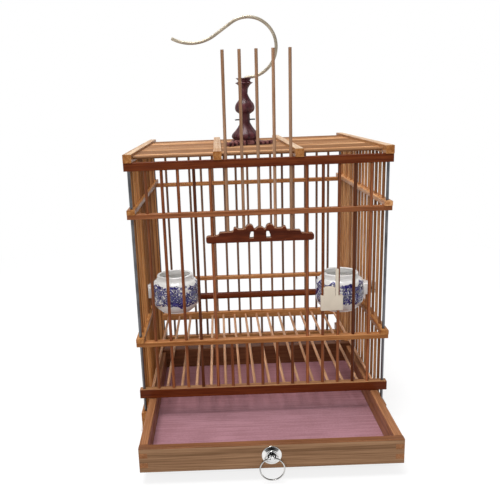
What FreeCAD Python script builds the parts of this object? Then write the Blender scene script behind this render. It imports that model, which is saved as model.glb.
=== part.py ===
import FreeCAD
import Part
import Sketcher
import math
import os
import re

# A square bamboo bird cage: lapped rails tied by steel corner rods, round bars, a door that rises
# through the front rails, a pull-out drawer under a rod floor, and a turned finial with a hanging hook.
# +X is to the right, +Y is away from the viewer, +Z is up. The origin is under the middle of the base.

# Driving sizes in millimetres (angles in degrees), in groups by piece
SIZES = {
    # round bars and corner rods
    "bar_pitch": 16.0,
    "bar_diameter": 3.2,
    "rod_diameter": 3.0,
    "glue_gap": 0.05,
    "slide_gap": 0.3,
    "socket_depth": 5.0,
    "socket_end_gap": 0.1,
    # rails
    "rail_width": 8.4,
    "rail_edge_round": 0.6,
    "front_rail_overhang": 4.4,
    "side_rail_overhang": 6.4,
    "top_rail_height": 8.2,
    "top_side_height": 8.4,
    "hoop_rail_height": 5.0,
    "hoop_socket_depth": 3.4,
    "floor_rail_height": 9.8,
    "base_rail_height": 12.0,
    "base_side_height": 9.4,
    "cross_bar_offset": 40.0,
    # heights of the undersides of the three upper frames
    "lower_hoop_level": 96.0,
    "upper_hoop_level": 231.8,
    "top_level": 279.7,
    # rising door
    "door_rise": 103.3,
    "door_stop_gap": 0.3,
    "door_bar_length": 181.6,
    "door_bar_seat": 3.5,
    "ornament_height": 18.3,
    "ornament_thickness": 8.0,
    "piercing_width": 5.0,
    "piercing_height": 6.8,
    "piercing_offset": 8.8,
    "piercing_level": 7.4,
    # drawer
    "drawer_depth": 244.6,
    "drawer_height": 24.8,
    "drawer_back_gap": 0.3,
    "drawer_wall": 8.0,
    "drawer_side_gap": 1.0,
    "drawer_run_gap": 0.2,
    "drawer_top_gap": 0.4,
    "drawer_pull_out": 104.4,
    "drawer_bottom_thickness": 2.4,
    "drawer_bottom_lift": 1.6,
    "drawer_groove_depth": 3.0,
    "panel_gap": 0.2,
    "liner_thickness": 0.6,
    "drawer_edge_round": 0.8,
    # drawer pull
    "pull_level": 13.7,
    "rosette_diameter": 18.5,
    "rosette_thickness": 2.6,
    "rosette_collar_diameter": 10.4,
    "rosette_collar_width": 1.4,
    "rosette_rim_height": 1.5,
    "rosette_dish_height": 0.7,
    "eye_diameter": 5.2,
    "eye_reach": 5.4,
    "eye_width": 3.2,
    "ring_diameter": 22.6,
    "ring_wire": 1.4,
    "ring_gap": 0.45,
    # perch
    "perch_diameter": 8.0,
    "perch_overhang": 3.4,
    "perch_gap": 0.25,
    "perch_end_round": 1.2,
    # porcelain cups
    "cup_radius": 27.4,
    "cup_height": 43.6,
    "cup_rim_radius": 20.2,
    "cup_neck_radius": 21.9,
    "cup_foot_radius": 17.0,
    "cup_foot_height": 1.4,
    "cup_wall": 3.0,
    "cup_floor": 4.0,
    "cup_from_wall": 33.0,
    "cup_lift": 1.1,
    "lug_level": 24.0,
    "lug_height": 13.0,
    "lug_neck_width": 10.6,
    "lug_shoulder_width": 20.0,
    "lug_bar_gap": 0.15,
    "lug_reach": 7.8,
    "cup_pin_diameter": 3.0,
    "cup_pin_length": 27.0,
    "cup_pin_gap": 0.1,
    # moulded clip on the front bars
    "clip_width": 22.6,
    "clip_shift": 0.9,
    "clip_height": 15.8,
    "clip_level": 129.2,
    "clip_front": 4.4,
    "clip_back": 1.0,
    "clip_tongue_width": 11.6,
    "clip_tongue_height": 8.4,
    "clip_tongue_shift": 1.8,
    "clip_arm_width": 3.0,
    "clip_arm_height": 28.4,
    "clip_arm_thickness": 2.0,
    "clip_arm_shift": 6.0,
    "clip_gap": 0.05,
    # turned finial and its claw
    "finial_offset": 6.5,
    "finial_height": 67.0,
    "finial_foot_radius": 13.4,
    "lower_bulb_radius": 16.2,
    "lower_neck_radius": 5.7,
    "upper_bulb_radius": 11.4,
    "upper_neck_radius": 3.7,
    "crown_radius": 10.0,
    "crown_lip_radius": 9.2,
    "crown_cup_radius": 6.2,
    "crown_notch_radius": 2.6,
    "claw_radius": 33.0,
    "claw_turn": 9.0,
    "claw_height": 5.7,
    "claw_tip_height": 4.4,
    "claw_hub_radius": 13.4,
    "claw_vein_width": 1.6,
    "claw_vein_depth": 1.0,
    # screw and washer under the roof
    "screw_diameter": 4.0,
    "screw_head_diameter": 8.0,
    "screw_head_height": 2.2,
    "screw_bite": 9.0,
    "washer_diameter": 24.0,
    "washer_thickness": 1.6,
    # hanging hook and the pin that keeps it
    "hook_wire": 3.6,
    "hook_fit": 0.08,
    "hook_tail": 5.5,
    "hook_rise": 5.75,
    "hook_bend_radius": 5.0,
    "hook_bow_radius": 32.2,
    "hook_fall_angle": 33.7,
    "hook_slope": 22.3,
    "hook_tip_radius": 47.2,
    "hook_tip_angle": 28.7,
    "hook_pin_diameter": 1.6,
    "hook_pin_length": 23.4,
    "hook_pin_offset": 2.2,
    "hook_pin_level": 22.3,
    "hook_pin_gap": 0.2,
    # how far a cut runs past the face that it leaves
    "overrun": 2.0,
}

# Counts
GAPS_PER_SIDE = 16
DOOR_REACH = 2
DRAWER_FINGERS = 5
CLAW_LEAVES = 3
CROWN_PETALS = 5

# Rows, in bar pitches from the middle, of the two cups and the clip
LEFT_CUP_ROW_SHARE = -2.5
RIGHT_CUP_ROW_SHARE = -3.5
CLIP_ROW_SHARE = 4.5

# Right half of the ornament's outline: across in bar pitches, up in ornament heights, and the bulge of
# the stretch that follows (its rise over half its chord, outward positive)
ORNAMENT_SHARES = [
    (3.28, 0.00, 0.30),
    (3.41, 0.12, 0.00),
    (3.41, 0.28, 0.35),
    (3.26, 0.40, 0.00),
    (2.68, 0.42, -0.35),
    (2.56, 0.59, 0.00),
    (1.74, 0.62, -0.35),
    (1.66, 0.77, 0.75),
    (1.42, 0.76, -0.12),
    (0.90, 0.78, 0.94),
    (0.38, 0.77, -0.30),
    (0.29, 0.71, 0.55),
]
PIERCING_TOP_SHARE = 0.55

# Finial profile: radius, height in finial heights, and the bulge of the stretch that follows
FINIAL_SHARES = [
    ("finial_foot_radius", 0.000, 0.25),
    ("lower_bulb_radius", 0.054, 0.15),
    ("lower_bulb_radius * 0.90", 0.105, -0.09),
    ("lower_neck_radius", 0.285, 0.00),
    ("lower_neck_radius", 0.425, 0.00),
    ("upper_bulb_radius * 0.78", 0.455, 0.25),
    ("upper_bulb_radius", 0.525, 0.15),
    ("upper_bulb_radius * 0.84", 0.610, -0.10),
    ("upper_neck_radius", 0.765, -0.22),
    ("crown_radius", 0.930, 0.00),
    ("crown_radius * 0.94", 0.945, -0.30),
    ("crown_lip_radius", 0.985, 0.30),
    ("crown_cup_radius", 1.000, -0.35),
]
CROWN_CUP_FLOOR_SHARE = 0.95
CROWN_NOTCH_SHARE = 0.16

# Cup profile: heights of the wall's upright stretch and of the neck in cup heights, and the bulges
CUP_BELLY_SHARE = 0.42
CUP_SHOULDER_SHARE = 0.70
CUP_NECK_SHARE = 0.89
CUP_LOWER_BULGE_SHARE = 0.28
CUP_UPPER_BULGE_SHARE = 0.31
CUP_LIP_BULGE_SHARE = -0.12

# Claw leaves: the dip of their slope, where their points would meet, and the curve of their sides
CLAW_SLOPE_BULGE_SHARE = -0.18
LEAF_POINT_SHARE = 1.10
LEAF_SIDE_BULGE_SHARE = 0.20

doc = FreeCAD.newDocument("bird_cage")
dims = doc.addObject("Spreadsheet::Sheet", "dims")
for row, (name, value) in enumerate(SIZES.items(), start=1):
    dims.set(f"A{row}", name)
    dims.set(f"B{row}", str(value))
    dims.setAlias(f"B{row}", name)
doc.recompute()

WORD = re.compile(r"[a-z_]+")
nodes = []


def bound(text):
    """Point each size's name in a formula to its cell in the sheet."""
    return WORD.sub(lambda word: f"dims.{word[0]}" if word[0] in SIZES else word[0], text)


def size(text):
    """Work out a formula with the sheet's present values."""
    return float(dims.evalExpression(bound(text)))


# Places that several pieces share, as formulas of the driving sizes
ROD_HALF = f"({GAPS_PER_SIDE // 2} * bar_pitch)"
BAR_RADIUS = "(bar_diameter / 2)"
ROD_RADIUS = "(rod_diameter / 2)"
BAR_HOLE = f"({BAR_RADIUS} + glue_gap)"
ROD_HOLE = f"({ROD_RADIUS} + glue_gap)"
SLIDE_HOLE = f"({BAR_RADIUS} + slide_gap)"
RAIL_HALF = "(rail_width / 2)"
INNER_FACE = f"({ROD_HALF} - {RAIL_HALF})"
OUTER_FACE = f"({ROD_HALF} + {RAIL_HALF})"
BASE_SIDE_TOP = "(base_rail_height + base_side_height)"
DRAWER_Z = "(base_rail_height + drawer_run_gap)"
FLOOR_RAIL_Z = f"({DRAWER_Z} + drawer_height + drawer_top_gap)"
FLOOR_RAIL_TOP = f"({FLOOR_RAIL_Z} + floor_rail_height)"
LOWER_SIDE_Z = "(lower_hoop_level + hoop_rail_height)"
LOWER_SIDE_TOP = f"({LOWER_SIDE_Z} + hoop_rail_height)"
UPPER_SIDE_Z = "(upper_hoop_level + hoop_rail_height)"
TOP_SIDE_Z = "(top_level + top_rail_height)"
TOP_SIDE_TOP = f"({TOP_SIDE_Z} + top_side_height)"
ROOF_BAR_Z = f"({TOP_SIDE_Z} + top_side_height / 2)"
FLOOR_ROD_Z = f"({FLOOR_RAIL_Z} + floor_rail_height / 2)"
BAR_END = "(socket_depth - socket_end_gap)"
ORNAMENT_Z = f"({LOWER_SIDE_Z} + door_stop_gap + door_rise)"
CLAW_Z = f"({ROOF_BAR_Z} + {BAR_RADIUS} + glue_gap)"
FINIAL_Z = f"({CLAW_Z} + claw_height)"
DRAWER_HALF = f"({INNER_FACE} - drawer_side_gap)"
DRAWER_FRONT_Y = f"(-{OUTER_FACE} - drawer_pull_out)"
DRAWER_BACK_Y = f"({DRAWER_FRONT_Y} + drawer_depth)"
DRAWER_FLOOR_Z = f"({DRAWER_Z} + drawer_bottom_lift)"
PULL_Z = f"({DRAWER_Z} + pull_level)"
EYE_Y = f"({DRAWER_FRONT_Y} - eye_reach)"

ALL_BARS = range(1 - GAPS_PER_SIDE // 2, GAPS_PER_SIDE // 2)
DOOR_BARS = range(-DOOR_REACH, DOOR_REACH + 1)
FIXED_BARS = [place for place in ALL_BARS if place not in DOOR_BARS]
HALF_BARS = [place + 0.5 for place in range(-GAPS_PER_SIDE // 2, GAPS_PER_SIDE // 2)]

# The four walls, by the way that each one faces out.
# Each wall's rail is drawn along its own X with its inside towards its own +Y.
SIDE_SHARES = {"front": (0, -1), "right": (1, 0), "back": (0, 1), "left": (-1, 0)}


def spots(places):
    """Formulas for bar places that are counted in pitches from the middle."""
    return [f"{place} * bar_pitch" for place in places]


RODS = [f"-1 * {ROD_HALF}", ROD_HALF]


def new_body(label, x="0", y="0", z="0", turn=0):
    """Start a body with its own label, place and turn about the vertical."""
    body = doc.addObject("PartDesign::Body", label)
    body.Label = label
    body.Placement = FreeCAD.Placement(
        FreeCAD.Vector(), FreeCAD.Rotation(FreeCAD.Vector(0, 0, 1), turn)
    )
    place(body, x, y, z)
    nodes.append(body)
    return body


def place(thing, x, y, z):
    """Tie an object's place to formulas."""
    for letter, text in zip("xyz", (x, y, z)):
        thing.setExpression(f"Placement.Base.{letter}", bound(text))


def sketch_on(body, name, role, offset="0"):
    """Attach a sketch to one of the body's own planes, at an offset along its normal."""
    sketch = body.newObject("Sketcher::SketchObject", f"{body.Label}_{name}")
    plane = next(item for item in body.Origin.OriginFeatures if item.Role == role)
    sketch.AttachmentSupport = [(plane, "")]
    sketch.MapMode = "FlatFace"
    if offset != "0":
        sketch.setExpression("AttachmentOffset.Base.z", bound(offset))
    return sketch


def pin_point(sketch, item, end, across, up):
    """Hold one point of a sketch at formulas for its place."""
    for kind, axis, text in (("DistanceX", -2, across), ("DistanceY", -1, up)):
        if text == "0":
            sketch.addConstraint(Sketcher.Constraint("PointOnObject", item, end, axis))
            continue
        index = sketch.addConstraint(Sketcher.Constraint(kind, -1, 1, item, end, size(text)))
        sketch.setExpression(f"Constraints[{index}]", bound(text))


def outline(sketch, points, closed=True):
    """Draw lines and arcs through points given as (across, up, bulge of the stretch that follows)."""
    count = len(points)
    ends = []
    for index in range(count if closed else count - 1):
        across, up, bulge = points[index]
        next_across, next_up, _ = points[(index + 1) % count]
        start = FreeCAD.Vector(size(across), size(up), 0)
        finish = FreeCAD.Vector(size(next_across), size(next_up), 0)
        if bulge:
            half = (finish - start) / 2
            middle = start + half + FreeCAD.Vector(half.y, -half.x, 0) * bulge
            item = sketch.addGeometry(Part.Arc(start, middle, finish), False)
            swapped = sketch.getPoint(item, 1).distanceToPoint(start) > half.Length
            reach_share = (1 + bulge * bulge) / (4 * abs(bulge))
            radius = (
                f"sqrt(({next_across} - ({across}))^2 + ({next_up} - ({up}))^2) * {reach_share}"
            )
            rule = sketch.addConstraint(Sketcher.Constraint("Radius", item, size(radius)))
            sketch.setExpression(f"Constraints[{rule}]", bound(radius))
        else:
            item = sketch.addGeometry(Part.LineSegment(start, finish), False)
            swapped = False
        ends.append((item, 2 if swapped else 1, 1 if swapped else 2))
    for index, (item, first, last) in enumerate(ends):
        pin_point(sketch, item, first, *points[index][:2])
        if closed or index + 1 < len(ends):
            after, after_first, _ = ends[(index + 1) % len(ends)]
            sketch.addConstraint(Sketcher.Constraint("Coincident", item, last, after, after_first))
        else:
            pin_point(sketch, item, last, *points[index + 1][:2])


def rectangle(sketch, left, right, bottom, top):
    """Draw a rectangle between formulas for its four sides."""
    corners = [(left, bottom), (right, bottom), (right, top), (left, top)]
    outline(sketch, [(across, up, 0) for across, up in corners])


def circles(sketch, places, radius):
    """Draw circles of one radius at formulas for their centres."""
    for across, up in places:
        centre = FreeCAD.Vector(size(across), size(up), 0)
        item = sketch.addGeometry(
            Part.Circle(centre, FreeCAD.Vector(0, 0, 1), size(radius)), False
        )
        pin_point(sketch, item, 3, across, up)
        rule = sketch.addConstraint(Sketcher.Constraint("Radius", item, size(radius)))
        sketch.setExpression(f"Constraints[{rule}]", bound(radius))


def pad(body, sketch, length, reverse=False):
    """Raise a sketch into a solid along its normal, or against it."""
    feature = body.newObject("PartDesign::Pad", f"{sketch.Name}_pad")
    feature.Profile = sketch
    feature.Reversed = reverse
    feature.setExpression("Length", bound(length))
    doc.recompute()
    return feature


def pocket(body, sketch, depth=None, reverse=False):
    """Cut a sketch into the body to a depth, or right through, and test that it cuts."""
    before = body.Shape.Volume
    feature = body.newObject("PartDesign::Pocket", f"{sketch.Name}_pocket")
    feature.Profile = sketch
    feature.Reversed = reverse
    if depth is None:
        feature.Type = "ThroughAll"
    else:
        feature.setExpression("Length", bound(depth))
    doc.recompute()
    if not body.Shape.Volume < before:
        raise RuntimeError(f"{feature.Name} cuts nothing")
    return feature


def turn(body, sketch, kind="PartDesign::Revolution"):
    """Turn a sketch fully about its upright axis, to add or to cut."""
    before = body.Shape.Volume if body.Tip else 0
    feature = body.newObject(kind, f"{sketch.Name}_turn")
    feature.Profile = sketch
    feature.ReferenceAxis = (sketch, ["V_Axis"])
    feature.Angle = 360
    doc.recompute()
    if kind.endswith("Groove") and not body.Shape.Volume < before:
        raise RuntimeError(f"{feature.Name} cuts nothing")
    return feature


def around(body, feature, count):
    """Repeat a feature evenly about the body's upright axis."""
    pattern = body.newObject("PartDesign::PolarPattern", f"{feature.Name}_around")
    pattern.Originals = [feature]
    pattern.Axis = (feature.Profile[0], ["N_Axis"])
    pattern.Angle = 360
    pattern.Occurrences = count
    body.Tip = pattern
    doc.recompute()


def soften(body, base, radius, wanted):
    """Round the edges of a feature that pass a test."""
    names = [
        f"Edge{number}" for number, edge in enumerate(base.Shape.Edges, start=1) if wanted(edge)
    ]
    feature = body.newObject("PartDesign::Fillet", f"{base.Name}_round")
    feature.Base = (base, names)
    feature.setExpression("Radius", bound(radius))
    doc.recompute()


def rods_node(label, runs, diameter):
    """Make one node of separate round rods, each run as (x, y, z, length, axis)."""
    turns = {
        "x": FreeCAD.Rotation(FreeCAD.Vector(0, 1, 0), 90),
        "y": FreeCAD.Rotation(FreeCAD.Vector(1, 0, 0), -90),
        "z": FreeCAD.Rotation(),
    }
    rods = []
    for number, (x, y, z, length, axis) in enumerate(runs, start=1):
        rod = doc.addObject("Part::Cylinder", f"{label}_{number}")
        rod.setExpression("Radius", bound(f"{diameter} / 2"))
        rod.setExpression("Height", bound(length))
        rod.Placement = FreeCAD.Placement(FreeCAD.Vector(), turns[axis])
        place(rod, x, y, z)
        rods.append(rod)
    if len(rods) == 1:
        rods[0].Label = label
        nodes.append(rods[0])
        return
    group = doc.addObject("Part::Compound", label)
    group.Label = label
    group.Links = rods
    nodes.append(group)


def straight_rail(label, half, height, x, y, z, turn_angle):
    """A rail with eased long edges, drawn along its own X."""
    body = new_body(label, x, y, z, turn_angle)
    sketch = sketch_on(body, "plan", "XY_Plane")
    rectangle(sketch, f"-{half}", half, f"-{RAIL_HALF}", RAIL_HALF)
    base = pad(body, sketch, height)
    length = size(f"{half} * 2")
    soften(body, base, "rail_edge_round", lambda edge: abs(edge.Length - length) < length / 1000)
    return body


def drill(body, name, way, places, radius, height, depth=None):
    """Drill a row of holes through a rail, or to a depth from its top, underside or inside."""
    if way in ("inside", "across"):
        sketch = sketch_on(body, name, "XZ_Plane", f"-{RAIL_HALF}")
        circles(sketch, [(spot, f"{height} / 2") for spot in places], radius)
        pocket(body, sketch, depth, reverse=True)
        return
    offset = "0" if way == "below" else height
    sketch = sketch_on(body, name, "XY_Plane", offset)
    circles(sketch, [(spot, "0") for spot in places], radius)
    pocket(body, sketch, depth, reverse=way == "below")


def wall_rail(label, side, z, height):
    """One rail of a frame, on the line of its wall's bars and corner rods."""
    side_x, side_y = SIDE_SHARES[side]
    turn_angle = math.degrees(math.atan2(side_x, -side_y))
    overhang = "front_rail_overhang" if side in ("front", "back") else "side_rail_overhang"
    half = f"({ROD_HALF} + {overhang})"
    x = f"{side_x} * {ROD_HALF}"
    y = f"{side_y} * {ROD_HALF}"
    return straight_rail(label, half, height, x, y, z, turn_angle)


def top_frame():
    """Top frame: sockets for the wall bars, guide holes for the door, and the roof's sockets."""
    for side in SIDE_SHARES:
        lapped = side in ("left", "right")
        height = "top_side_height" if lapped else "top_rail_height"
        rail = wall_rail(f"top_{side}_rail", side, TOP_SIDE_Z if lapped else "top_level", height)
        bars = FIXED_BARS if side == "front" else ALL_BARS
        drill(rail, "bar_sockets", "below", spots(bars), BAR_HOLE, height, "socket_depth")
        if side == "front":
            drill(rail, "door_guides", "through", spots(DOOR_BARS), SLIDE_HOLE, height)
        if lapped:
            drill(rail, "rod_sockets", "below", RODS, ROD_HOLE, height, "socket_depth")
            drill(rail, "roof_sockets", "inside", spots(HALF_BARS), BAR_HOLE, height, "socket_depth")
        else:
            drill(rail, "rod_holes", "through", RODS, ROD_HOLE, height)


def hoop(name, level, side_level, sill):
    """A thin frame that the wall bars pass through; the lower one carries the short sill bars."""
    height = "hoop_rail_height"
    for side in SIDE_SHARES:
        lapped = side in ("left", "right")
        rail = wall_rail(f"{name}_{side}_rail", side, side_level if lapped else level, height)
        bars = FIXED_BARS if side == "front" else ALL_BARS
        drill(rail, "bar_holes", "through", spots(bars), BAR_HOLE, height)
        drill(rail, "rod_holes", "through", RODS, ROD_HOLE, height)
        if side == "front" and sill:
            drill(rail, "sill_sockets", "below", spots(DOOR_BARS), BAR_HOLE, height, "hoop_socket_depth")
        elif side == "front":
            drill(rail, "door_guides", "through", spots(DOOR_BARS), SLIDE_HOLE, height)


def floor_rails():
    """Deep front and back rails that hold the floor rods."""
    height = "floor_rail_height"
    for side in ("front", "back"):
        rail = wall_rail(f"floor_{side}_rail", side, FLOOR_RAIL_Z, height)
        depth = "socket_depth" if side == "front" else None
        drill(rail, "bar_holes", "top", spots(ALL_BARS), BAR_HOLE, height, depth)
        drill(rail, "rod_holes", "through", RODS, ROD_HOLE, height)
        drill(rail, "floor_sockets", "inside", spots(HALF_BARS), BAR_HOLE, height, "socket_depth")


def base_rails():
    """Base frame, with a middle rail under the drawer."""
    for side in SIDE_SHARES:
        lapped = side in ("left", "right")
        height = "base_side_height" if lapped else "base_rail_height"
        rail = wall_rail(f"base_{side}_rail", side, "base_rail_height" if lapped else "0", height)
        depth = None if lapped else "socket_depth"
        drill(rail, "rod_holes", "top", RODS, ROD_HOLE, height, depth)
        if side != "front":
            drill(rail, "bar_sockets", "top", spots(ALL_BARS), BAR_HOLE, height, "socket_depth")
    half = f"({ROD_HALF} + front_rail_overhang)"
    straight_rail("base_middle_rail", half, "base_rail_height", "0", "0", "0", 0)


def roof():
    """Two cross bars lapped on the top frame, and the roof bars threaded through them."""
    half = f"({ROD_HALF} + side_rail_overhang)"
    for name, sign in (("left", -1), ("right", 1)):
        x = f"{sign} * cross_bar_offset"
        bar = straight_rail(f"roof_{name}_cross_bar", half, "top_side_height", x, "0", TOP_SIDE_Z, 90)
        drill(bar, "roof_holes", "across", spots(HALF_BARS), BAR_HOLE, "top_side_height")
    start = f"-{INNER_FACE} - {BAR_END}"
    length = f"2 * ({INNER_FACE} + {BAR_END})"
    runs = [(start, spot, ROOF_BAR_Z, length, "x") for spot in spots(HALF_BARS)]
    rods_node("roof_bars", runs, "bar_diameter")


def upright_runs(places, side, bottom, top):
    """Upright bars of one wall between two heights."""
    side_x, side_y = SIDE_SHARES[side]
    runs = []
    for spot in spots(places):
        x = f"{side_x} * {ROD_HALF}" if side_x else spot
        y = f"{side_y} * {ROD_HALF}" if side_y else spot
        runs.append((x, y, bottom, f"{top} - {bottom}", "z"))
    return runs


def walls():
    """Corner rods, wall bars, sill bars and floor rods."""
    corner_bottom = "(base_rail_height - socket_depth + socket_end_gap)"
    corner_top = f"({TOP_SIDE_Z} + {BAR_END})"
    corners = [
        (x, y, corner_bottom, f"{corner_top} - {corner_bottom}", "z") for x in RODS for y in RODS
    ]
    rods_node("corner_tie_rods", corners, "rod_diameter")
    front_bottom = f"({FLOOR_RAIL_TOP} - {BAR_END})"
    front_top = f"(top_level + {BAR_END})"
    rods_node("front_bars", upright_runs(FIXED_BARS, "front", front_bottom, front_top), "bar_diameter")
    sill_top = "(lower_hoop_level + hoop_socket_depth - socket_end_gap)"
    rods_node("front_sill_bars", upright_runs(DOOR_BARS, "front", front_bottom, sill_top), "bar_diameter")
    back_bottom = f"(base_rail_height - {BAR_END})"
    rods_node("back_bars", upright_runs(ALL_BARS, "back", back_bottom, front_top), "bar_diameter")
    side_bottom = f"({BASE_SIDE_TOP} - {BAR_END})"
    for side in ("left", "right"):
        runs = upright_runs(ALL_BARS, side, side_bottom, corner_top)
        rods_node(f"{side}_bars", runs, "bar_diameter")
    start = f"-{INNER_FACE} - {BAR_END}"
    length = f"2 * ({INNER_FACE} + {BAR_END})"
    runs = [(spot, start, FLOOR_ROD_Z, length, "y") for spot in spots(HALF_BARS)]
    rods_node("floor_rods", runs, "bar_diameter")


def perch():
    """A turned perch, notched at its ends over the middle side bars, lying on the lower hoop."""
    end = f"({ROD_HALF} + perch_overhang)"
    body = new_body("perch", z=f"{LOWER_SIDE_TOP} + perch_diameter / 2")
    sketch = sketch_on(body, "section", "YZ_Plane", f"-{end}")
    circles(sketch, [("0", "0")], "perch_diameter / 2")
    stick = pad(body, sketch, f"2 * {end}")
    soften(body, stick, "perch_end_round", lambda edge: len(edge.Vertexes) == 1)
    notch_half = f"({BAR_RADIUS} + perch_gap)"
    notches = sketch_on(body, "notches", "XY_Plane", "perch_diameter / 2")
    for sign in ("-1 *", "1 *"):
        inner = f"{sign} ({ROD_HALF} - {notch_half})"
        outer = f"{sign} ({end} + overrun)"
        low, high = (outer, inner) if sign.startswith("-") else (inner, outer)
        rectangle(notches, low, high, f"-{notch_half}", notch_half)
    pocket(body, notches)


def door():
    """Five long bars in a carved crosspiece whose ends slide on two of the fixed bars."""
    body = new_body("door_crosspiece", y=f"-{ROD_HALF}", z=ORNAMENT_Z)
    sketch = sketch_on(body, "carving", "XZ_Plane", "-ornament_thickness / 2")
    right = [
        (f"{across} * bar_pitch", f"{up} * ornament_height" if up else "0", bulge)
        for across, up, bulge in ORNAMENT_SHARES
    ]
    bulges = [bulge for _, _, bulge in ORNAMENT_SHARES]
    left = [
        (f"-1 * {across}", up, before)
        for (across, up, _), before in zip(right[::-1], bulges[-2::-1] + [0])
    ]
    outline(sketch, right + left)
    pad(body, sketch, "ornament_thickness")
    piercing = sketch_on(body, "piercings", "XZ_Plane", "ornament_thickness / 2")
    low = "(piercing_level - piercing_height / 2)"
    high = "(piercing_level + piercing_height / 2)"
    inner = "(piercing_offset - piercing_width / 2)"
    outer = "(piercing_offset + piercing_width / 2)"
    shoulder = f"({inner} + {PIERCING_TOP_SHARE} * piercing_width)"
    opening = [(inner, low), (outer, low), (shoulder, high), (inner, high)]
    outline(piercing, [(across, up, 0) for across, up in opening])
    outline(piercing, [(f"-1 * {across}", up, 0) for across, up in opening[::-1]])
    pocket(body, piercing)
    seats = sketch_on(body, "bar_seats", "XY_Plane", "door_bar_seat")
    circles(seats, [(spot, "0") for spot in spots(DOOR_BARS)], BAR_HOLE)
    pocket(body, seats, reverse=True)
    guides = sketch_on(body, "guides", "XY_Plane", "ornament_height")
    guide = DOOR_REACH + 1
    circles(guides, [(spot, "0") for spot in spots((-guide, guide))], SLIDE_HOLE)
    pocket(body, guides)
    start = f"({ORNAMENT_Z} + door_bar_seat + socket_end_gap)"
    runs = [
        (spot, f"-{ROD_HALF}", start, "door_bar_length - socket_end_gap", "z")
        for spot in spots(DOOR_BARS)
    ]
    rods_node("door_bars", runs, "bar_diameter")


def fingers(sketch, inner, outer, gap):
    """Draw every second finger of a corner joint, at both ends of a board."""
    for level in range(1, DRAWER_FINGERS, 2):
        low = f"drawer_height * {level} / {DRAWER_FINGERS} - {gap}"
        high = f"drawer_height * {level + 1} / {DRAWER_FINGERS} + {gap}"
        rectangle(sketch, f"-1 * {outer}", f"-1 * {inner}", low, high)
        rectangle(sketch, inner, outer, low, high)


def drawer():
    """Finger-jointed drawer box with a grooved-in bottom, a liner, and a tall back that stops at the floor rail."""
    groove_low = "drawer_bottom_lift"
    groove_high = "drawer_bottom_lift + drawer_bottom_thickness + panel_gap"
    inner_half = f"({DRAWER_HALF} - drawer_wall)"
    inner_depth = "(drawer_depth - 2 * drawer_wall)"
    panel_half = f"({inner_half} + drawer_groove_depth - panel_gap)"
    panel_depth = f"({inner_depth} + 2 * drawer_groove_depth - 2 * panel_gap)"
    groove_half = f"({inner_half} + drawer_groove_depth)"
    back_height = f"({FLOOR_ROD_Z} - {BAR_RADIUS} - drawer_back_gap - {DRAWER_Z})"
    for name, y, turn_angle, height in (
        ("front", DRAWER_FRONT_Y, 0, "drawer_height"),
        ("back", DRAWER_BACK_Y, 180, back_height),
    ):
        body = new_body(f"drawer_{name}", "0", y, DRAWER_Z, turn_angle)
        sketch = sketch_on(body, "plan", "XY_Plane")
        rectangle(sketch, f"-{DRAWER_HALF}", DRAWER_HALF, "0", "drawer_wall")
        board = pad(body, sketch, height)
        long_edge = size(f"2 * {DRAWER_HALF}")
        soften(
            body, board, "drawer_edge_round", lambda edge: abs(edge.Length - long_edge) < long_edge / 1000
        )
        groove = sketch_on(body, "groove", "XZ_Plane", "-drawer_wall")
        rectangle(groove, f"-{groove_half}", groove_half, groove_low, groove_high)
        pocket(body, groove, "drawer_groove_depth", reverse=True)
        notches = sketch_on(body, "finger_notches", "XZ_Plane", "-drawer_wall")
        fingers(notches, f"({inner_half} - glue_gap)", f"({DRAWER_HALF} + overrun)", "glue_gap")
        pocket(body, notches, "drawer_wall + overrun", reverse=True)
    for name, sign, turn_angle in (("left", -1, 270), ("right", 1, 90)):
        x = f"{sign} * {DRAWER_HALF}"
        y = f"({DRAWER_FRONT_Y} + {DRAWER_BACK_Y}) / 2"
        body = new_body(f"drawer_{name}_side", x, y, DRAWER_Z, turn_angle)
        sketch = sketch_on(body, "plan", "XY_Plane")
        rectangle(sketch, f"-{inner_depth} / 2", f"{inner_depth} / 2", "0", "drawer_wall")
        board = pad(body, sketch, "drawer_height")
        long_edge = size(inner_depth)
        soften(
            body, board, "drawer_edge_round", lambda edge: abs(edge.Length - long_edge) < long_edge / 1000
        )
        groove = sketch_on(body, "groove", "XZ_Plane", "-drawer_wall")
        rectangle(groove, f"-{inner_depth} / 2", f"{inner_depth} / 2", groove_low, groove_high)
        pocket(body, groove, "drawer_groove_depth", reverse=True)
        tongues = sketch_on(body, "fingers", "XZ_Plane", "-drawer_wall")
        fingers(tongues, f"({inner_depth} / 2)", "(drawer_depth / 2)", "0")
        pad(body, tongues, "drawer_wall")
    middle_y = f"({DRAWER_FRONT_Y} + {DRAWER_BACK_Y}) / 2"
    panel = new_body("drawer_bottom", "0", middle_y, DRAWER_FLOOR_Z)
    sketch = sketch_on(panel, "plan", "XY_Plane")
    rectangle(sketch, f"-{panel_half}", panel_half, f"-{panel_depth} / 2", f"{panel_depth} / 2")
    pad(panel, sketch, "drawer_bottom_thickness")
    liner = new_body("drawer_liner", "0", middle_y, f"{DRAWER_FLOOR_Z} + drawer_bottom_thickness")
    sketch = sketch_on(liner, "plan", "XY_Plane")
    rectangle(
        sketch,
        f"-{inner_half} + panel_gap",
        f"{inner_half} - panel_gap",
        f"-{inner_depth} / 2 + panel_gap",
        f"{inner_depth} / 2 - panel_gap",
    )
    pad(liner, sketch, "liner_thickness")


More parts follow.
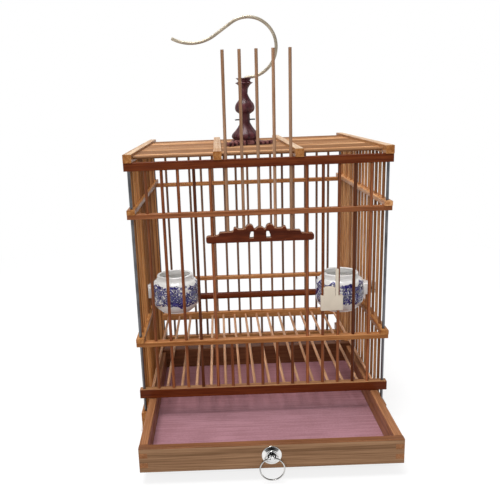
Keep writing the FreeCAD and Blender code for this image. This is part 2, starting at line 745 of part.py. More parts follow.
def drawer_pull():
    """Turned rosette, an eye standing out of it, and the ring that hangs in the eye."""
    rosette = new_body("pull_rosette", "0", DRAWER_FRONT_Y, PULL_Z)
    rosette.Placement = FreeCAD.Placement(
        rosette.Placement.Base, FreeCAD.Rotation(FreeCAD.Vector(1, 0, 0), 90)
    )
    profile = sketch_on(rosette, "profile", "XZ_Plane")
    rim = "(rosette_diameter / 2)"
    collar = "(rosette_collar_diameter / 2)"
    collar_inside = f"({collar} - rosette_collar_width)"
    collar_foot = "(rosette_thickness - rosette_collar_width / 2)"
    stem = "(eye_diameter / 2 + glue_gap)"
    outline(
        profile,
        [
            (stem, "0", 0),
            (rim, "0", 0),
            (rim, "rosette_dish_height", 0.4),
            (f"{rim} - rosette_dish_height", "rosette_rim_height", -0.3),
            (collar, "rosette_dish_height", 0),
            (collar, collar_foot, 0.9),
            (collar_inside, collar_foot, 0),
            (collar_inside, "rosette_dish_height", 0),
            (stem, "rosette_dish_height", 0),
        ],
    )
    turn(rosette, profile)
    eye = new_body("pull_eye", "0", DRAWER_FRONT_Y, PULL_Z)
    hole = "(ring_wire / 2 + ring_gap)"
    stalk = sketch_on(eye, "stalk", "XZ_Plane")
    circles(stalk, [("0", "0")], "eye_diameter / 2")
    pad(eye, stalk, "eye_reach + eye_diameter / 2")
    flats = sketch_on(eye, "flats", "XY_Plane", "eye_diameter")
    for sign in ("-1 *", "1 *"):
        inner = f"{sign} eye_width / 2"
        outer = f"{sign} eye_diameter"
        low, high = (outer, inner) if sign.startswith("-") else (inner, outer)
        rectangle(
            flats,
            low,
            high,
            "-1 * (eye_reach + eye_diameter)",
            "-1 * rosette_thickness",
        )
    pocket(eye, flats)
    bore = sketch_on(eye, "bore", "YZ_Plane", "-eye_diameter")
    circles(bore, [("-1 * eye_reach", "0")], hole)
    pocket(eye, bore, reverse=True)
    ring = doc.addObject("Part::Torus", "pull_ring")
    ring.Label = "pull_ring"
    ring.setExpression("Radius1", bound("ring_diameter / 2"))
    ring.setExpression("Radius2", bound("ring_wire / 2"))
    ring.Placement = FreeCAD.Placement(
        FreeCAD.Vector(), FreeCAD.Rotation(FreeCAD.Vector(1, 0, 0), 90)
    )
    place(ring, "0", EYE_Y, f"{PULL_Z} - ring_diameter / 2")
    nodes.append(ring)


def cup(side, row_share):
    """A glazed feed cup whose lug passes between two side bars and is kept by a pin outside them."""
    sign, turn_angle = (-1, 180) if side == "left" else (1, 0)
    x = f"{sign} * ({ROD_HALF} - cup_from_wall)"
    y = f"{row_share} * bar_pitch"
    z = f"{LOWER_SIDE_TOP} + cup_lift"
    body = new_body(f"{side}_cup", x, y, z, turn_angle)
    belly = f"cup_height * {CUP_BELLY_SHARE}"
    shoulder = f"cup_height * {CUP_SHOULDER_SHARE}"
    neck = f"cup_height * {CUP_NECK_SHARE}"
    jar = sketch_on(body, "jar", "XZ_Plane")
    outline(
        jar,
        [
            ("0", "0", 0),
            ("cup_foot_radius", "0", 0),
            ("cup_foot_radius", "cup_foot_height", CUP_LOWER_BULGE_SHARE),
            ("cup_radius", belly, 0),
            ("cup_radius", shoulder, CUP_UPPER_BULGE_SHARE),
            ("cup_neck_radius", neck, CUP_LIP_BULGE_SHARE),
            ("cup_rim_radius", "cup_height", 0),
            ("0", "cup_height", 0),
        ],
    )
    turn(body, jar)
    bar_face = f"(cup_from_wall - {BAR_RADIUS} - lug_bar_gap)"
    lug_end = "(cup_from_wall + lug_reach)"
    for name, half, end in (
        ("shoulder", "lug_shoulder_width / 2", bar_face),
        ("neck", "lug_neck_width / 2", lug_end),
    ):
        lug = sketch_on(body, name, "XY_Plane", "lug_level - lug_height / 2")
        rectangle(lug, "0", end, f"-{half}", half)
        pad(body, lug, "lug_height")
    hollow = sketch_on(body, "hollow", "XZ_Plane")
    outline(
        hollow,
        [
            ("0", "cup_floor", 0),
            ("cup_foot_radius - cup_wall", "cup_floor", CUP_LOWER_BULGE_SHARE),
            ("cup_radius - cup_wall", belly, 0),
            ("cup_radius - cup_wall", shoulder, CUP_UPPER_BULGE_SHARE),
            ("cup_neck_radius - cup_wall", neck, 0),
            ("cup_rim_radius - cup_wall", "cup_height + overrun", 0),
            ("0", "cup_height + overrun", 0),
        ],
    )
    turn(body, hollow, "PartDesign::Groove")
    foot = sketch_on(body, "foot", "XY_Plane")
    circles(foot, [("0", "0")], "cup_foot_radius - cup_wall")
    pocket(body, foot, "cup_foot_height / 2", reverse=True)
    pin_radius = "(cup_pin_diameter / 2)"
    pin_place = f"(cup_from_wall + {BAR_RADIUS} + {pin_radius} + cup_pin_gap)"
    bore = sketch_on(body, "pin_bore", "XZ_Plane", "lug_shoulder_width / 2")
    circles(bore, [(pin_place, "lug_level")], f"{pin_radius} + glue_gap")
    pocket(body, bore, "lug_shoulder_width")
    pin_x = f"{sign} * ({ROD_HALF} - cup_from_wall + {pin_place})"
    pin = (pin_x, f"{y} - cup_pin_length / 2", f"{z} + lug_level", "cup_pin_length", "y")
    rods_node(f"{side}_cup_pin", [pin], "cup_pin_diameter")


def treat_clip():
    """A moulded clip that snaps over two of the front bars."""
    body = new_body("treat_clip", f"{CLIP_ROW_SHARE} * bar_pitch", f"-{ROD_HALF}", "clip_level")
    left = "(clip_shift - clip_width / 2)"
    right = "(clip_shift + clip_width / 2)"
    tongue_left = "(-1 * clip_tongue_shift - clip_tongue_width / 2)"
    tongue_right = "(-1 * clip_tongue_shift + clip_tongue_width / 2)"
    tongue_top = "(clip_height + clip_tongue_height)"
    face = sketch_on(body, "face", "XZ_Plane", "-clip_back")
    outline(
        face,
        [
            (left, "0", 0),
            (right, "0", 0),
            (right, "clip_height", 0),
            (tongue_right, "clip_height", 0),
            (tongue_right, tongue_top, 0.12),
            (tongue_left, tongue_top, 0),
            (tongue_left, "clip_height", 0),
            (left, "clip_height", 0),
        ],
    )
    pad(body, face, "clip_back + clip_front")
    arm = sketch_on(body, "arm", "XZ_Plane", "clip_front - clip_arm_thickness")
    rectangle(
        arm,
        "clip_arm_shift - clip_arm_width / 2",
        "clip_arm_shift + clip_arm_width / 2",
        "clip_height / 2",
        "clip_height + clip_arm_height",
    )
    pad(body, arm, "clip_arm_thickness")
    grip = sketch_on(body, "grips", "XY_Plane")
    circles(
        grip,
        [("-0.5 * bar_pitch", "0"), ("0.5 * bar_pitch", "0")],
        f"{BAR_RADIUS} + clip_gap",
    )
    pocket(body, grip, reverse=True)


def finial():
    """Turned finial on a three-leaved claw, screwed through the roof from below."""
    x = "-1 * finial_offset"
    claw = new_body("finial_claw", x, "0", CLAW_Z, -SIZES["claw_turn"])
    saucer = sketch_on(claw, "saucer", "XZ_Plane")
    outline(
        saucer,
        [
            ("0", "0", 0),
            ("claw_radius", "0", 0),
            ("claw_radius", "claw_tip_height / 2", 0.4),
            ("claw_radius - claw_tip_height / 2", "claw_tip_height", CLAW_SLOPE_BULGE_SHARE),
            ("claw_hub_radius", "claw_height", 0),
            ("0", "claw_height", 0),
        ],
    )
    turn(claw, saucer)
    gap = sketch_on(claw, "gap", "XY_Plane", "claw_height")
    leaf_turn = 180 - 180 / CLAW_LEAVES
    point_x = f"({LEAF_POINT_SHARE} * claw_radius * cos({leaf_turn}))"
    point_y = f"({LEAF_POINT_SHARE} * claw_radius * sin({leaf_turn}))"
    far = "(-1 * claw_radius - overrun)"
    outline(
        gap,
        [
            ("-1 * claw_hub_radius", "0", -LEAF_SIDE_BULGE_SHARE),
            (point_x, point_y, 0),
            (far, point_y, 0),
            (far, f"-1 * {point_y}", 0),
            (point_x, f"-1 * {point_y}", -LEAF_SIDE_BULGE_SHARE),
        ],
    )
    around(claw, pocket(claw, gap), CLAW_LEAVES)
    vein = sketch_on(claw, "vein", "XY_Plane", "claw_height")
    rectangle(
        vein,
        "claw_hub_radius",
        "claw_radius + overrun",
        "-1 * claw_vein_width / 2",
        "claw_vein_width / 2",
    )
    around(claw, pocket(claw, vein, "claw_height - claw_tip_height + claw_vein_depth"), CLAW_LEAVES)
    screw_hole = "(screw_diameter / 2 + glue_gap)"
    hole = sketch_on(claw, "screw_hole", "XY_Plane", "claw_height")
    circles(hole, [("0", "0")], screw_hole)
    pocket(claw, hole)
    body = new_body("finial", x, "0", FINIAL_Z)
    profile = sketch_on(body, "profile", "XZ_Plane")
    points = [
        (radius, f"{up} * finial_height" if up else "0", bulge) for radius, up, bulge in FINIAL_SHARES
    ]
    cup_floor = f"{CROWN_CUP_FLOOR_SHARE} * finial_height"
    outline(profile, [("0", "0", 0)] + points + [("hook_wire", cup_floor, 0), ("0", cup_floor, 0)])
    turn(body, profile)
    notch = sketch_on(body, "notch", "XY_Plane", "finial_height + overrun")
    circles(notch, [("crown_radius + crown_notch_radius / 2", "0")], "crown_notch_radius")
    notch_depth = f"{CROWN_NOTCH_SHARE} * finial_height + overrun"
    around(body, pocket(body, notch, notch_depth), CROWN_PETALS)
    bore = sketch_on(body, "shank_bore", "XY_Plane", "finial_height")
    circles(bore, [("0", "0")], "hook_wire / 2 + hook_fit")
    pocket(body, bore, "finial_height - hook_pin_level + hook_tail + hook_pin_gap")
    seat = sketch_on(body, "screw_seat", "XY_Plane")
    circles(seat, [("0", "0")], screw_hole)
    pocket(body, seat, "screw_bite + socket_end_gap", reverse=True)
    cross = sketch_on(body, "pin_hole", "YZ_Plane", "-lower_bulb_radius")
    circles(cross, [("hook_pin_offset", "hook_pin_level")], "hook_pin_diameter / 2 + glue_gap")
    pocket(body, cross, "2 * lower_bulb_radius", reverse=True)
    pin = (
        f"{x} - hook_pin_length / 2",
        "hook_pin_offset",
        f"{FINIAL_Z} + hook_pin_level",
        "hook_pin_length",
        "x",
    )
    rods_node("hook_pin", [pin], "hook_pin_diameter")


def roof_fixing():
    """Washer and screw that draw the finial down on the roof bars."""
    x = "-1 * finial_offset"
    washer_top = f"({ROOF_BAR_Z} - {BAR_RADIUS} - glue_gap)"
    washer = new_body("finial_washer", x, "0", f"{washer_top} - washer_thickness")
    plate = sketch_on(washer, "plate", "XY_Plane")
    circles(plate, [("0", "0")], "washer_diameter / 2")
    circles(plate, [("0", "0")], "screw_diameter / 2 + glue_gap")
    pad(washer, plate, "washer_thickness")
    screw = new_body("finial_screw", x, "0", f"{washer_top} - washer_thickness")
    profile = sketch_on(screw, "profile", "XZ_Plane")
    top = f"({FINIAL_Z} - {washer_top} + washer_thickness + screw_bite)"
    radius = "screw_diameter / 2"
    head = "screw_head_diameter / 2"
    outline(
        profile,
        [
            ("0", "-screw_head_height", 0.35),
            (head, "0", 0),
            (radius, "0", 0),
            (radius, f"{top} - {radius}", 0),
            ("0", top, 0),
        ],
    )
    turn(screw, profile)


def hook():
    """Brass hook: a shank that turns in the finial, an open bow and a drawn-out tip."""
    body = new_body("hook", "-1 * finial_offset", "0", FINIAL_Z)
    shank_bottom = "(hook_pin_level - hook_tail)"
    bend_start = "(finial_height + hook_rise - hook_bend_radius - hook_wire)"
    bow_bottom = f"({bend_start} + hook_bend_radius)"
    bow_middle = f"({bow_bottom} + hook_bow_radius)"
    slope_x = "(hook_bend_radius - hook_bow_radius * sin(hook_fall_angle))"
    slope_z = f"({bow_middle} + hook_bow_radius * cos(hook_fall_angle))"
    tip_x = f"({slope_x} - hook_slope * cos(hook_fall_angle))"
    tip_z = f"({slope_z} - hook_slope * sin(hook_fall_angle))"
    end_x = f"({tip_x} - hook_tip_radius * (sin(hook_fall_angle) + sin(hook_tip_angle)))"
    end_z = f"({tip_z} + hook_tip_radius * (cos(hook_fall_angle) - cos(hook_tip_angle)))"
    path = sketch_on(body, "path", "XZ_Plane")
    fall = SIZES["hook_fall_angle"]
    tip_sweep = fall + SIZES["hook_tip_angle"]
    stretches = [
        ("0", shank_bottom, None, 0),
        ("0", bend_start, "hook_bend_radius", -90),
        ("hook_bend_radius", bow_bottom, "hook_bow_radius", 180 + fall),
        (slope_x, slope_z, None, 0),
        (tip_x, tip_z, "hook_tip_radius", -tip_sweep),
        (end_x, end_z, None, 0),
    ]
    wire_path(path, stretches)
    section = sketch_on(body, "section", "XY_Plane", shank_bottom)
    circles(section, [("0", "0")], "hook_wire / 2")
    doc.recompute()
    pipe = body.newObject("PartDesign::AdditivePipe", "hook_pipe")
    pipe.Profile = section
    pipe.Spine = (path, [f"Edge{number}" for number in range(1, len(stretches))])
    doc.recompute()
    groove = sketch_on(body, "groove", "XZ_Plane")
    groove_half = "(hook_pin_diameter / 2 + hook_pin_gap)"
    rectangle(
        groove,
        "hook_pin_offset - hook_pin_diameter / 2 - hook_pin_gap",
        "hook_wire",
        f"hook_pin_level - {groove_half}",
        f"hook_pin_level + {groove_half}",
    )
    turn(body, groove, "PartDesign::Groove")


def wire_path(sketch, stretches):
    """Draw an open path of straight runs and arcs, each arc given by its radius and sweep."""
    ends = []
    for (across, up, radius, sweep), after in zip(stretches, stretches[1:]):
        start = FreeCAD.Vector(size(across), size(up), 0)
        finish = FreeCAD.Vector(size(after[0]), size(after[1]), 0)
        if radius is None:
            item = sketch.addGeometry(Part.LineSegment(start, finish), False)
            swapped = False
        else:
            middle = arc_middle(start, finish, size(radius), sweep)
            item = sketch.addGeometry(Part.Arc(start, middle, finish), False)
            swapped = sweep < 0
            rule = sketch.addConstraint(Sketcher.Constraint("Radius", item, size(radius)))
            sketch.setExpression(f"Constraints[{rule}]", bound(radius))
        ends.append((item, 2 if swapped else 1, 1 if swapped else 2))
    for index, (item, first, last) in enumerate(ends):
        pin_point(sketch, item, first, *stretches[index][:2])
        if index + 1 < len(ends):
            after, after_first, _ = ends[index + 1]
            sketch.addConstraint(Sketcher.Constraint("Coincident", item, last, after, after_first))
        else:
            pin_point(sketch, item, last, *stretches[index + 1][:2])


def arc_middle(start, finish, radius, sweep):
    """The middle point of an arc between two points that turns left (positive) or right."""
    half = (finish - start) / 2
    to_side = FreeCAD.Vector(half.y, -half.x, 0).normalize()
    reach = max(radius * radius - half.Length * half.Length, 0) ** 0.5
    rise = radius + reach if abs(sweep) > 180 else radius - reach
    return start + half + to_side * (rise if sweep > 0 else -rise)


top_frame()
hoop("upper_hoop", "upper_hoop_level", UPPER_SIDE_Z, sill=False)
hoop("lower_hoop", "lower_hoop_level", LOWER_SIDE_Z, sill=True)
floor_rails()
base_rails()
roof()
walls()
perch()
door()
drawer()
drawer_pull()
cup("left", LEFT_CUP_ROW_SHARE)
cup("right", RIGHT_CUP_ROW_SHARE)
treat_clip()
finial()
roof_fixing()
hook()
doc.recompute()

for item in doc.Objects:
    if "Invalid" in item.State or "Error" in item.State:
        raise RuntimeError(f"{item.Label} failed: {item.State}")
for node in nodes:
    if node.Shape.isNull() or not node.Shape.isValid():
        raise RuntimeError(f"{node.Label} has no valid shape")
os.makedirs("parts", exist_ok=True)
for node in nodes:
    node.Shape.exportStep(f"parts/{node.Label}.step")
print(len(nodes), "nodes,", sum(len(node.Shape.Solids) for node in nodes), "solids")
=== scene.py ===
import logging
import math
from dataclasses import dataclass
from enum import Enum
from functools import cached_property
from typing import Any, Callable, Sequence

import bpy
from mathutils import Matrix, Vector


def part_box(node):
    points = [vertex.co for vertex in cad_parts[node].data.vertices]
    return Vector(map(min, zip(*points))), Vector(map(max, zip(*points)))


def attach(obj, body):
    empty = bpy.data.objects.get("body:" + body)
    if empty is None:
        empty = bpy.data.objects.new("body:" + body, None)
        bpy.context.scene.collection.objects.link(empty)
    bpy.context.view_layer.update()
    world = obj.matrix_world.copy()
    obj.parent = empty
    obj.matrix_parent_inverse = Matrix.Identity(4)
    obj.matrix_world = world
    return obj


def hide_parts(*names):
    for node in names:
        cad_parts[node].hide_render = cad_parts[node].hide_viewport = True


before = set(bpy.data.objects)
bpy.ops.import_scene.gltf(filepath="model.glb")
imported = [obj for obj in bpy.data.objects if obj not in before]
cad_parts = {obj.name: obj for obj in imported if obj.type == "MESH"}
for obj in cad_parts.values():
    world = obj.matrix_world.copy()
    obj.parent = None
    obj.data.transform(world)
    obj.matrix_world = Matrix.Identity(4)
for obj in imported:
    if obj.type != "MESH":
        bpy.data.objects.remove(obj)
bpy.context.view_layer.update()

LOG = logging.getLogger("bird_cage")
MM = 0.001

# Reaches are in millimetres and angles in degrees.
MERGE_REACH = 0.002
SPIN_REACH = 0.004
TOUCH_REACH = 0.01
BEVEL_STEPS = 3
FLAT_ANGLE = 0.6
SHARP_ANGLE = 40.0
SMOOTH_ANGLE = 38.0

Colour = tuple[float, float, float]
Tones = tuple[Colour, Colour]
Place = tuple[float, float, float]
Point = tuple[float, float]
Turn = tuple[float, float, float]
Socket = bpy.types.NodeSocket
Node = bpy.types.Node
Tree = bpy.types.NodeTree
Material = bpy.types.Material
Piece = bpy.types.Object

UP = Vector((0.0, 0.0, 1.0))
RIGHT = Vector((1.0, 0.0, 0.0))
TO_VIEWER = Vector((0.0, -1.0, 0.0))
WHITE: Colour = (1.0, 1.0, 1.0)
BLACK: Colour = (0.0, 0.0, 0.0)


class GrainAxis(Enum):
    """The way that a piece's grain runs."""

    ALONG_X = 0
    ALONG_Y = 1
    ALONG_Z = 2


ALONG_X, ALONG_Y, ALONG_Z = GrainAxis


def shaded(colour: Colour, share: float) -> Colour:
    """Darken a colour to a share of itself."""
    return tuple(part * share for part in colour)


class Wiring:
    """Ways to add and join nodes in one node tree."""

    def __init__(self, tree: Tree) -> None:
        """Keep the tree that the nodes go into."""
        self.tree = tree

    def fill(self, node: Node, inputs: dict[Any, Any]) -> None:
        """Set a node's inputs.

        Args:
            node: The node.
            inputs: Values or sockets for its inputs, by name or place.
        """
        for key, value in inputs.items():
            if isinstance(value, Socket):
                self.tree.links.new(value, node.inputs[key])
            else:
                node.inputs[key].default_value = value

    def add(self, kind: str, inputs: dict[Any, Any] | None = None, **settings: Any) -> Node:
        """Add a node.

        Args:
            kind: The shader node's kind.
            inputs: Values or sockets for its inputs, by name or place.
            settings: Properties of the node itself.

        Returns:
            The new node.
        """
        node = self.tree.nodes.new("ShaderNode" + kind)
        for name, value in settings.items():
            setattr(node, name, value)
        self.fill(node, inputs or {})
        return node

    def effect(self, tree: Tree, **inputs: Any) -> Any:
        """Use a shared effect and give its outputs by name."""
        return self.add("Group", inputs, node_tree=tree).outputs

    def sum(self, operation: str, *values: Any) -> Socket:
        """Work on values or sockets with a Math node."""
        return self.add("Math", dict(enumerate(values)), operation=operation).outputs[0]

    def times(self, value: Any, share: Any, base: Any = 0.0) -> Socket:
        """Add a share of a value to a base."""
        return self.sum("MULTIPLY_ADD", value, share, base)

    def vector(self, operation: str, *values: Any) -> Socket:
        """Work on vectors or sockets with a Vector Math node."""
        return self.add("VectorMath", dict(enumerate(values)), operation=operation).outputs[0]

    def split(self, place: Socket) -> Any:
        """Give the three parts of a vector."""
        return self.add("SeparateXYZ", {0: place}).outputs

    def noise(self, place: Socket, scale: float, detail: float) -> Socket:
        """Spread noise with a scale of so many clouds per unit and a detail of octaves."""
        inputs = {"Vector": place, "Scale": scale, "Detail": detail}
        return self.add("TexNoise", inputs).outputs[0]

    def ramp(self, value: Any, low: float, high: float) -> Socket:
        """Spread a value smoothly, from nought at the low limit to one at the high one."""
        inputs = {0: value, 1: low, 2: high}
        return self.add("MapRange", inputs, interpolation_type="SMOOTHSTEP").outputs[0]

    def mix(self, factor: Socket, first: Any, second: Any, blend: str = "MIX") -> Socket:
        """Mix two colours.

        Args:
            factor: How much of the second colour shows.
            first: First colour or socket.
            second: Second colour or socket.
            blend: The way of mixing.

        Returns:
            The mixed colour's socket.
        """
        node = self.add("Mix", {0: factor}, data_type="RGBA", blend_type=blend)
        for key, value in ((6, first), (7, second)):
            self.fill(node, {key: value if isinstance(value, Socket) else (*value, 1.0)})
        return node.outputs[2]


class Bench:
    """Ways to shape one mesh with Blender's own tools."""

    @staticmethod
    def lathe(
        name: str, points: Sequence[Point], centre: Place, along: Vector, steps: int
    ) -> Piece:
        """Draw a profile from one loose vertex, point by point, and spin it about its axis.

        Args:
            name: The piece's name.
            points: Radius and height of each point in millimetres.
            centre: The axis's foot in millimetres.
            along: The axis.
            steps: Steps round the axis.

        Returns:
            The turned piece, in object mode.
        """
        bpy.ops.mesh.primitive_plane_add(size=MM, location=(0.0, 0.0, 0.0))
        piece = bpy.context.active_object
        piece.name = piece.data.name = name
        bpy.ops.object.mode_set(mode="EDIT")
        bpy.ops.mesh.select_mode(type="VERT")
        bpy.ops.mesh.select_all(action="SELECT")
        bpy.ops.mesh.merge(type="CENTER")
        foot = Vector(centre) * MM
        places = [foot + (RIGHT * radius + along * height) * MM for radius, height in points]
        bpy.ops.transform.translate(value=places[0])
        for last, place in zip(places, places[1:]):
            bpy.ops.mesh.extrude_vertices_move(TRANSFORM_OT_translate={"value": place - last})
        bpy.ops.mesh.select_all(action="SELECT")
        bpy.ops.mesh.spin(steps=steps, angle=2.0 * math.pi, center=foot, axis=along)
        bpy.ops.mesh.select_all(action="SELECT")
        bpy.ops.mesh.remove_doubles(threshold=SPIN_REACH * MM)
        bpy.ops.mesh.normals_make_consistent(inside=False)
        bpy.ops.object.mode_set(mode="OBJECT")
        return piece

    @staticmethod
    def pick(piece: Piece, rule: Callable[[Vector], bool]) -> None:
        """Select the vertices that a rule takes and stay in edit mode.

        Args:
            piece: The piece, in object mode.
            rule: Says for a vertex's place whether it is taken.
        """
        bpy.ops.object.mode_set(mode="EDIT")
        bpy.ops.mesh.select_mode(type="VERT")
        bpy.ops.mesh.select_all(action="DESELECT")
        bpy.ops.object.mode_set(mode="OBJECT")
        for vertex in piece.data.vertices:
            vertex.select = rule(vertex.co)
        bpy.ops.object.mode_set(mode="EDIT")

    @staticmethod
    def copy_of(node: str, name: str) -> Piece:
        """Copy a node's mesh and merge it into whole flat faces.

        Args:
            node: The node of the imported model.
            name: The copy's name.

        Returns:
            The copy, in object mode.
        """
        piece = bpy.data.objects.new(name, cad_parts[node].data.copy())
        piece.data.materials.clear()
        bpy.context.scene.collection.objects.link(piece)
        Bench.take(piece)
        bpy.ops.object.mode_set(mode="EDIT")
        bpy.ops.mesh.select_all(action="SELECT")
        bpy.ops.mesh.remove_doubles(threshold=MERGE_REACH * MM)
        bpy.ops.mesh.dissolve_limited(angle_limit=math.radians(FLAT_ANGLE))
        bpy.ops.mesh.normals_make_consistent(inside=False)
        bpy.ops.object.mode_set(mode="OBJECT")
        return piece

    @staticmethod
    def take(piece: Piece) -> None:
        """Make a piece the selected and active one.

        Args:
            piece: The piece.
        """
        bpy.ops.object.select_all(action="DESELECT")
        piece.select_set(True)
        bpy.context.view_layer.objects.active = piece

    @staticmethod
    def round_edges(piece: Piece, width: float) -> None:
        """Bevel a piece's sharp edges with a modifier and apply it.

        Args:
            piece: The piece.
            width: The bevel's width in millimetres.
        """
        Bench.take(piece)
        bevel = piece.modifiers.new("rounding", "BEVEL")
        bevel.width = width * MM
        bevel.segments = BEVEL_STEPS
        bevel.limit_method = "ANGLE"
        bevel.angle_limit = math.radians(SHARP_ANGLE)
        bpy.ops.object.modifier_apply(modifier=bevel.name)

    @staticmethod
    def remesh(piece: Piece, step: float, easing: int) -> None:
        """Build a piece anew from small even faces, ready for carving, and ease its edges.

        Args:
            piece: The piece, in object mode.
            step: The faces' size in millimetres.
            easing: How often the edges are eased.
        """
        Bench.take(piece)
        modifier = piece.modifiers.new("even_faces", "REMESH")
        modifier.mode = "VOXEL"
        modifier.voxel_size = step * MM
        bpy.ops.object.modifier_apply(modifier=modifier.name)
        bpy.ops.object.mode_set(mode="EDIT")
        bpy.ops.mesh.select_all(action="SELECT")
        bpy.ops.mesh.vertices_smooth(factor=0.5, repeat=easing)
        bpy.ops.object.mode_set(mode="OBJECT")

    @staticmethod
    def hand_over(
        piece: Piece, node: str, body: str, slot: str, smooth: float = SMOOTH_ANGLE
    ) -> None:
        """Smooth a finished piece and let it stand for its node.

        Args:
            piece: The finished piece.
            node: The node that it replaces.
            body: The body that it rides on.
            slot: A material slot's name; not used.
            smooth: The largest angle, in degrees, that is shaded smooth.
        """
        Bench.take(piece)
        bpy.ops.object.shade_smooth_by_angle(angle=math.radians(smooth))
        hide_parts(node)
        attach(piece, body)
        LOG.info("modelled %s for %s, %d faces", piece.name, node, len(piece.data.polygons))


def curve(profile: Sequence[Turn], steps: int) -> list[Point]:
    """Draw a profile of straight and round stretches as points.

    Args:
        profile: Radius, height and the bulge of the stretch that follows, positive to the right.
        steps: Steps along a round stretch.

    Returns:
        The profile's points.
    """
    points: list[Point] = []
    for (r0, z0, bulge), (r1, z1, _) in zip(profile, profile[1:]):
        points.append((r0, z0))
        if not bulge:
            continue
        half = 2.0 * math.atan(abs(bulge))
        chord = math.hypot(r1 - r0, z1 - z0)
        radius = chord / (2.0 * math.sin(half))
        ur, uz = (r1 - r0) / chord, (z1 - z0) / chord
        side = math.copysign(1.0, bulge)
        nr, nz = uz * side, -ur * side
        inset = radius * math.cos(half)
        for step in range(1, steps):
            angle = half * (2.0 * step / steps - 1.0)
            out, on = radius * math.cos(angle) - inset, radius * math.sin(angle)
            points.append(
                ((r0 + r1) / 2.0 + nr * out + ur * on, (z0 + z1) / 2.0 + nz * out + uz * on)
            )
    points.append(profile[-1][:2])
    return points


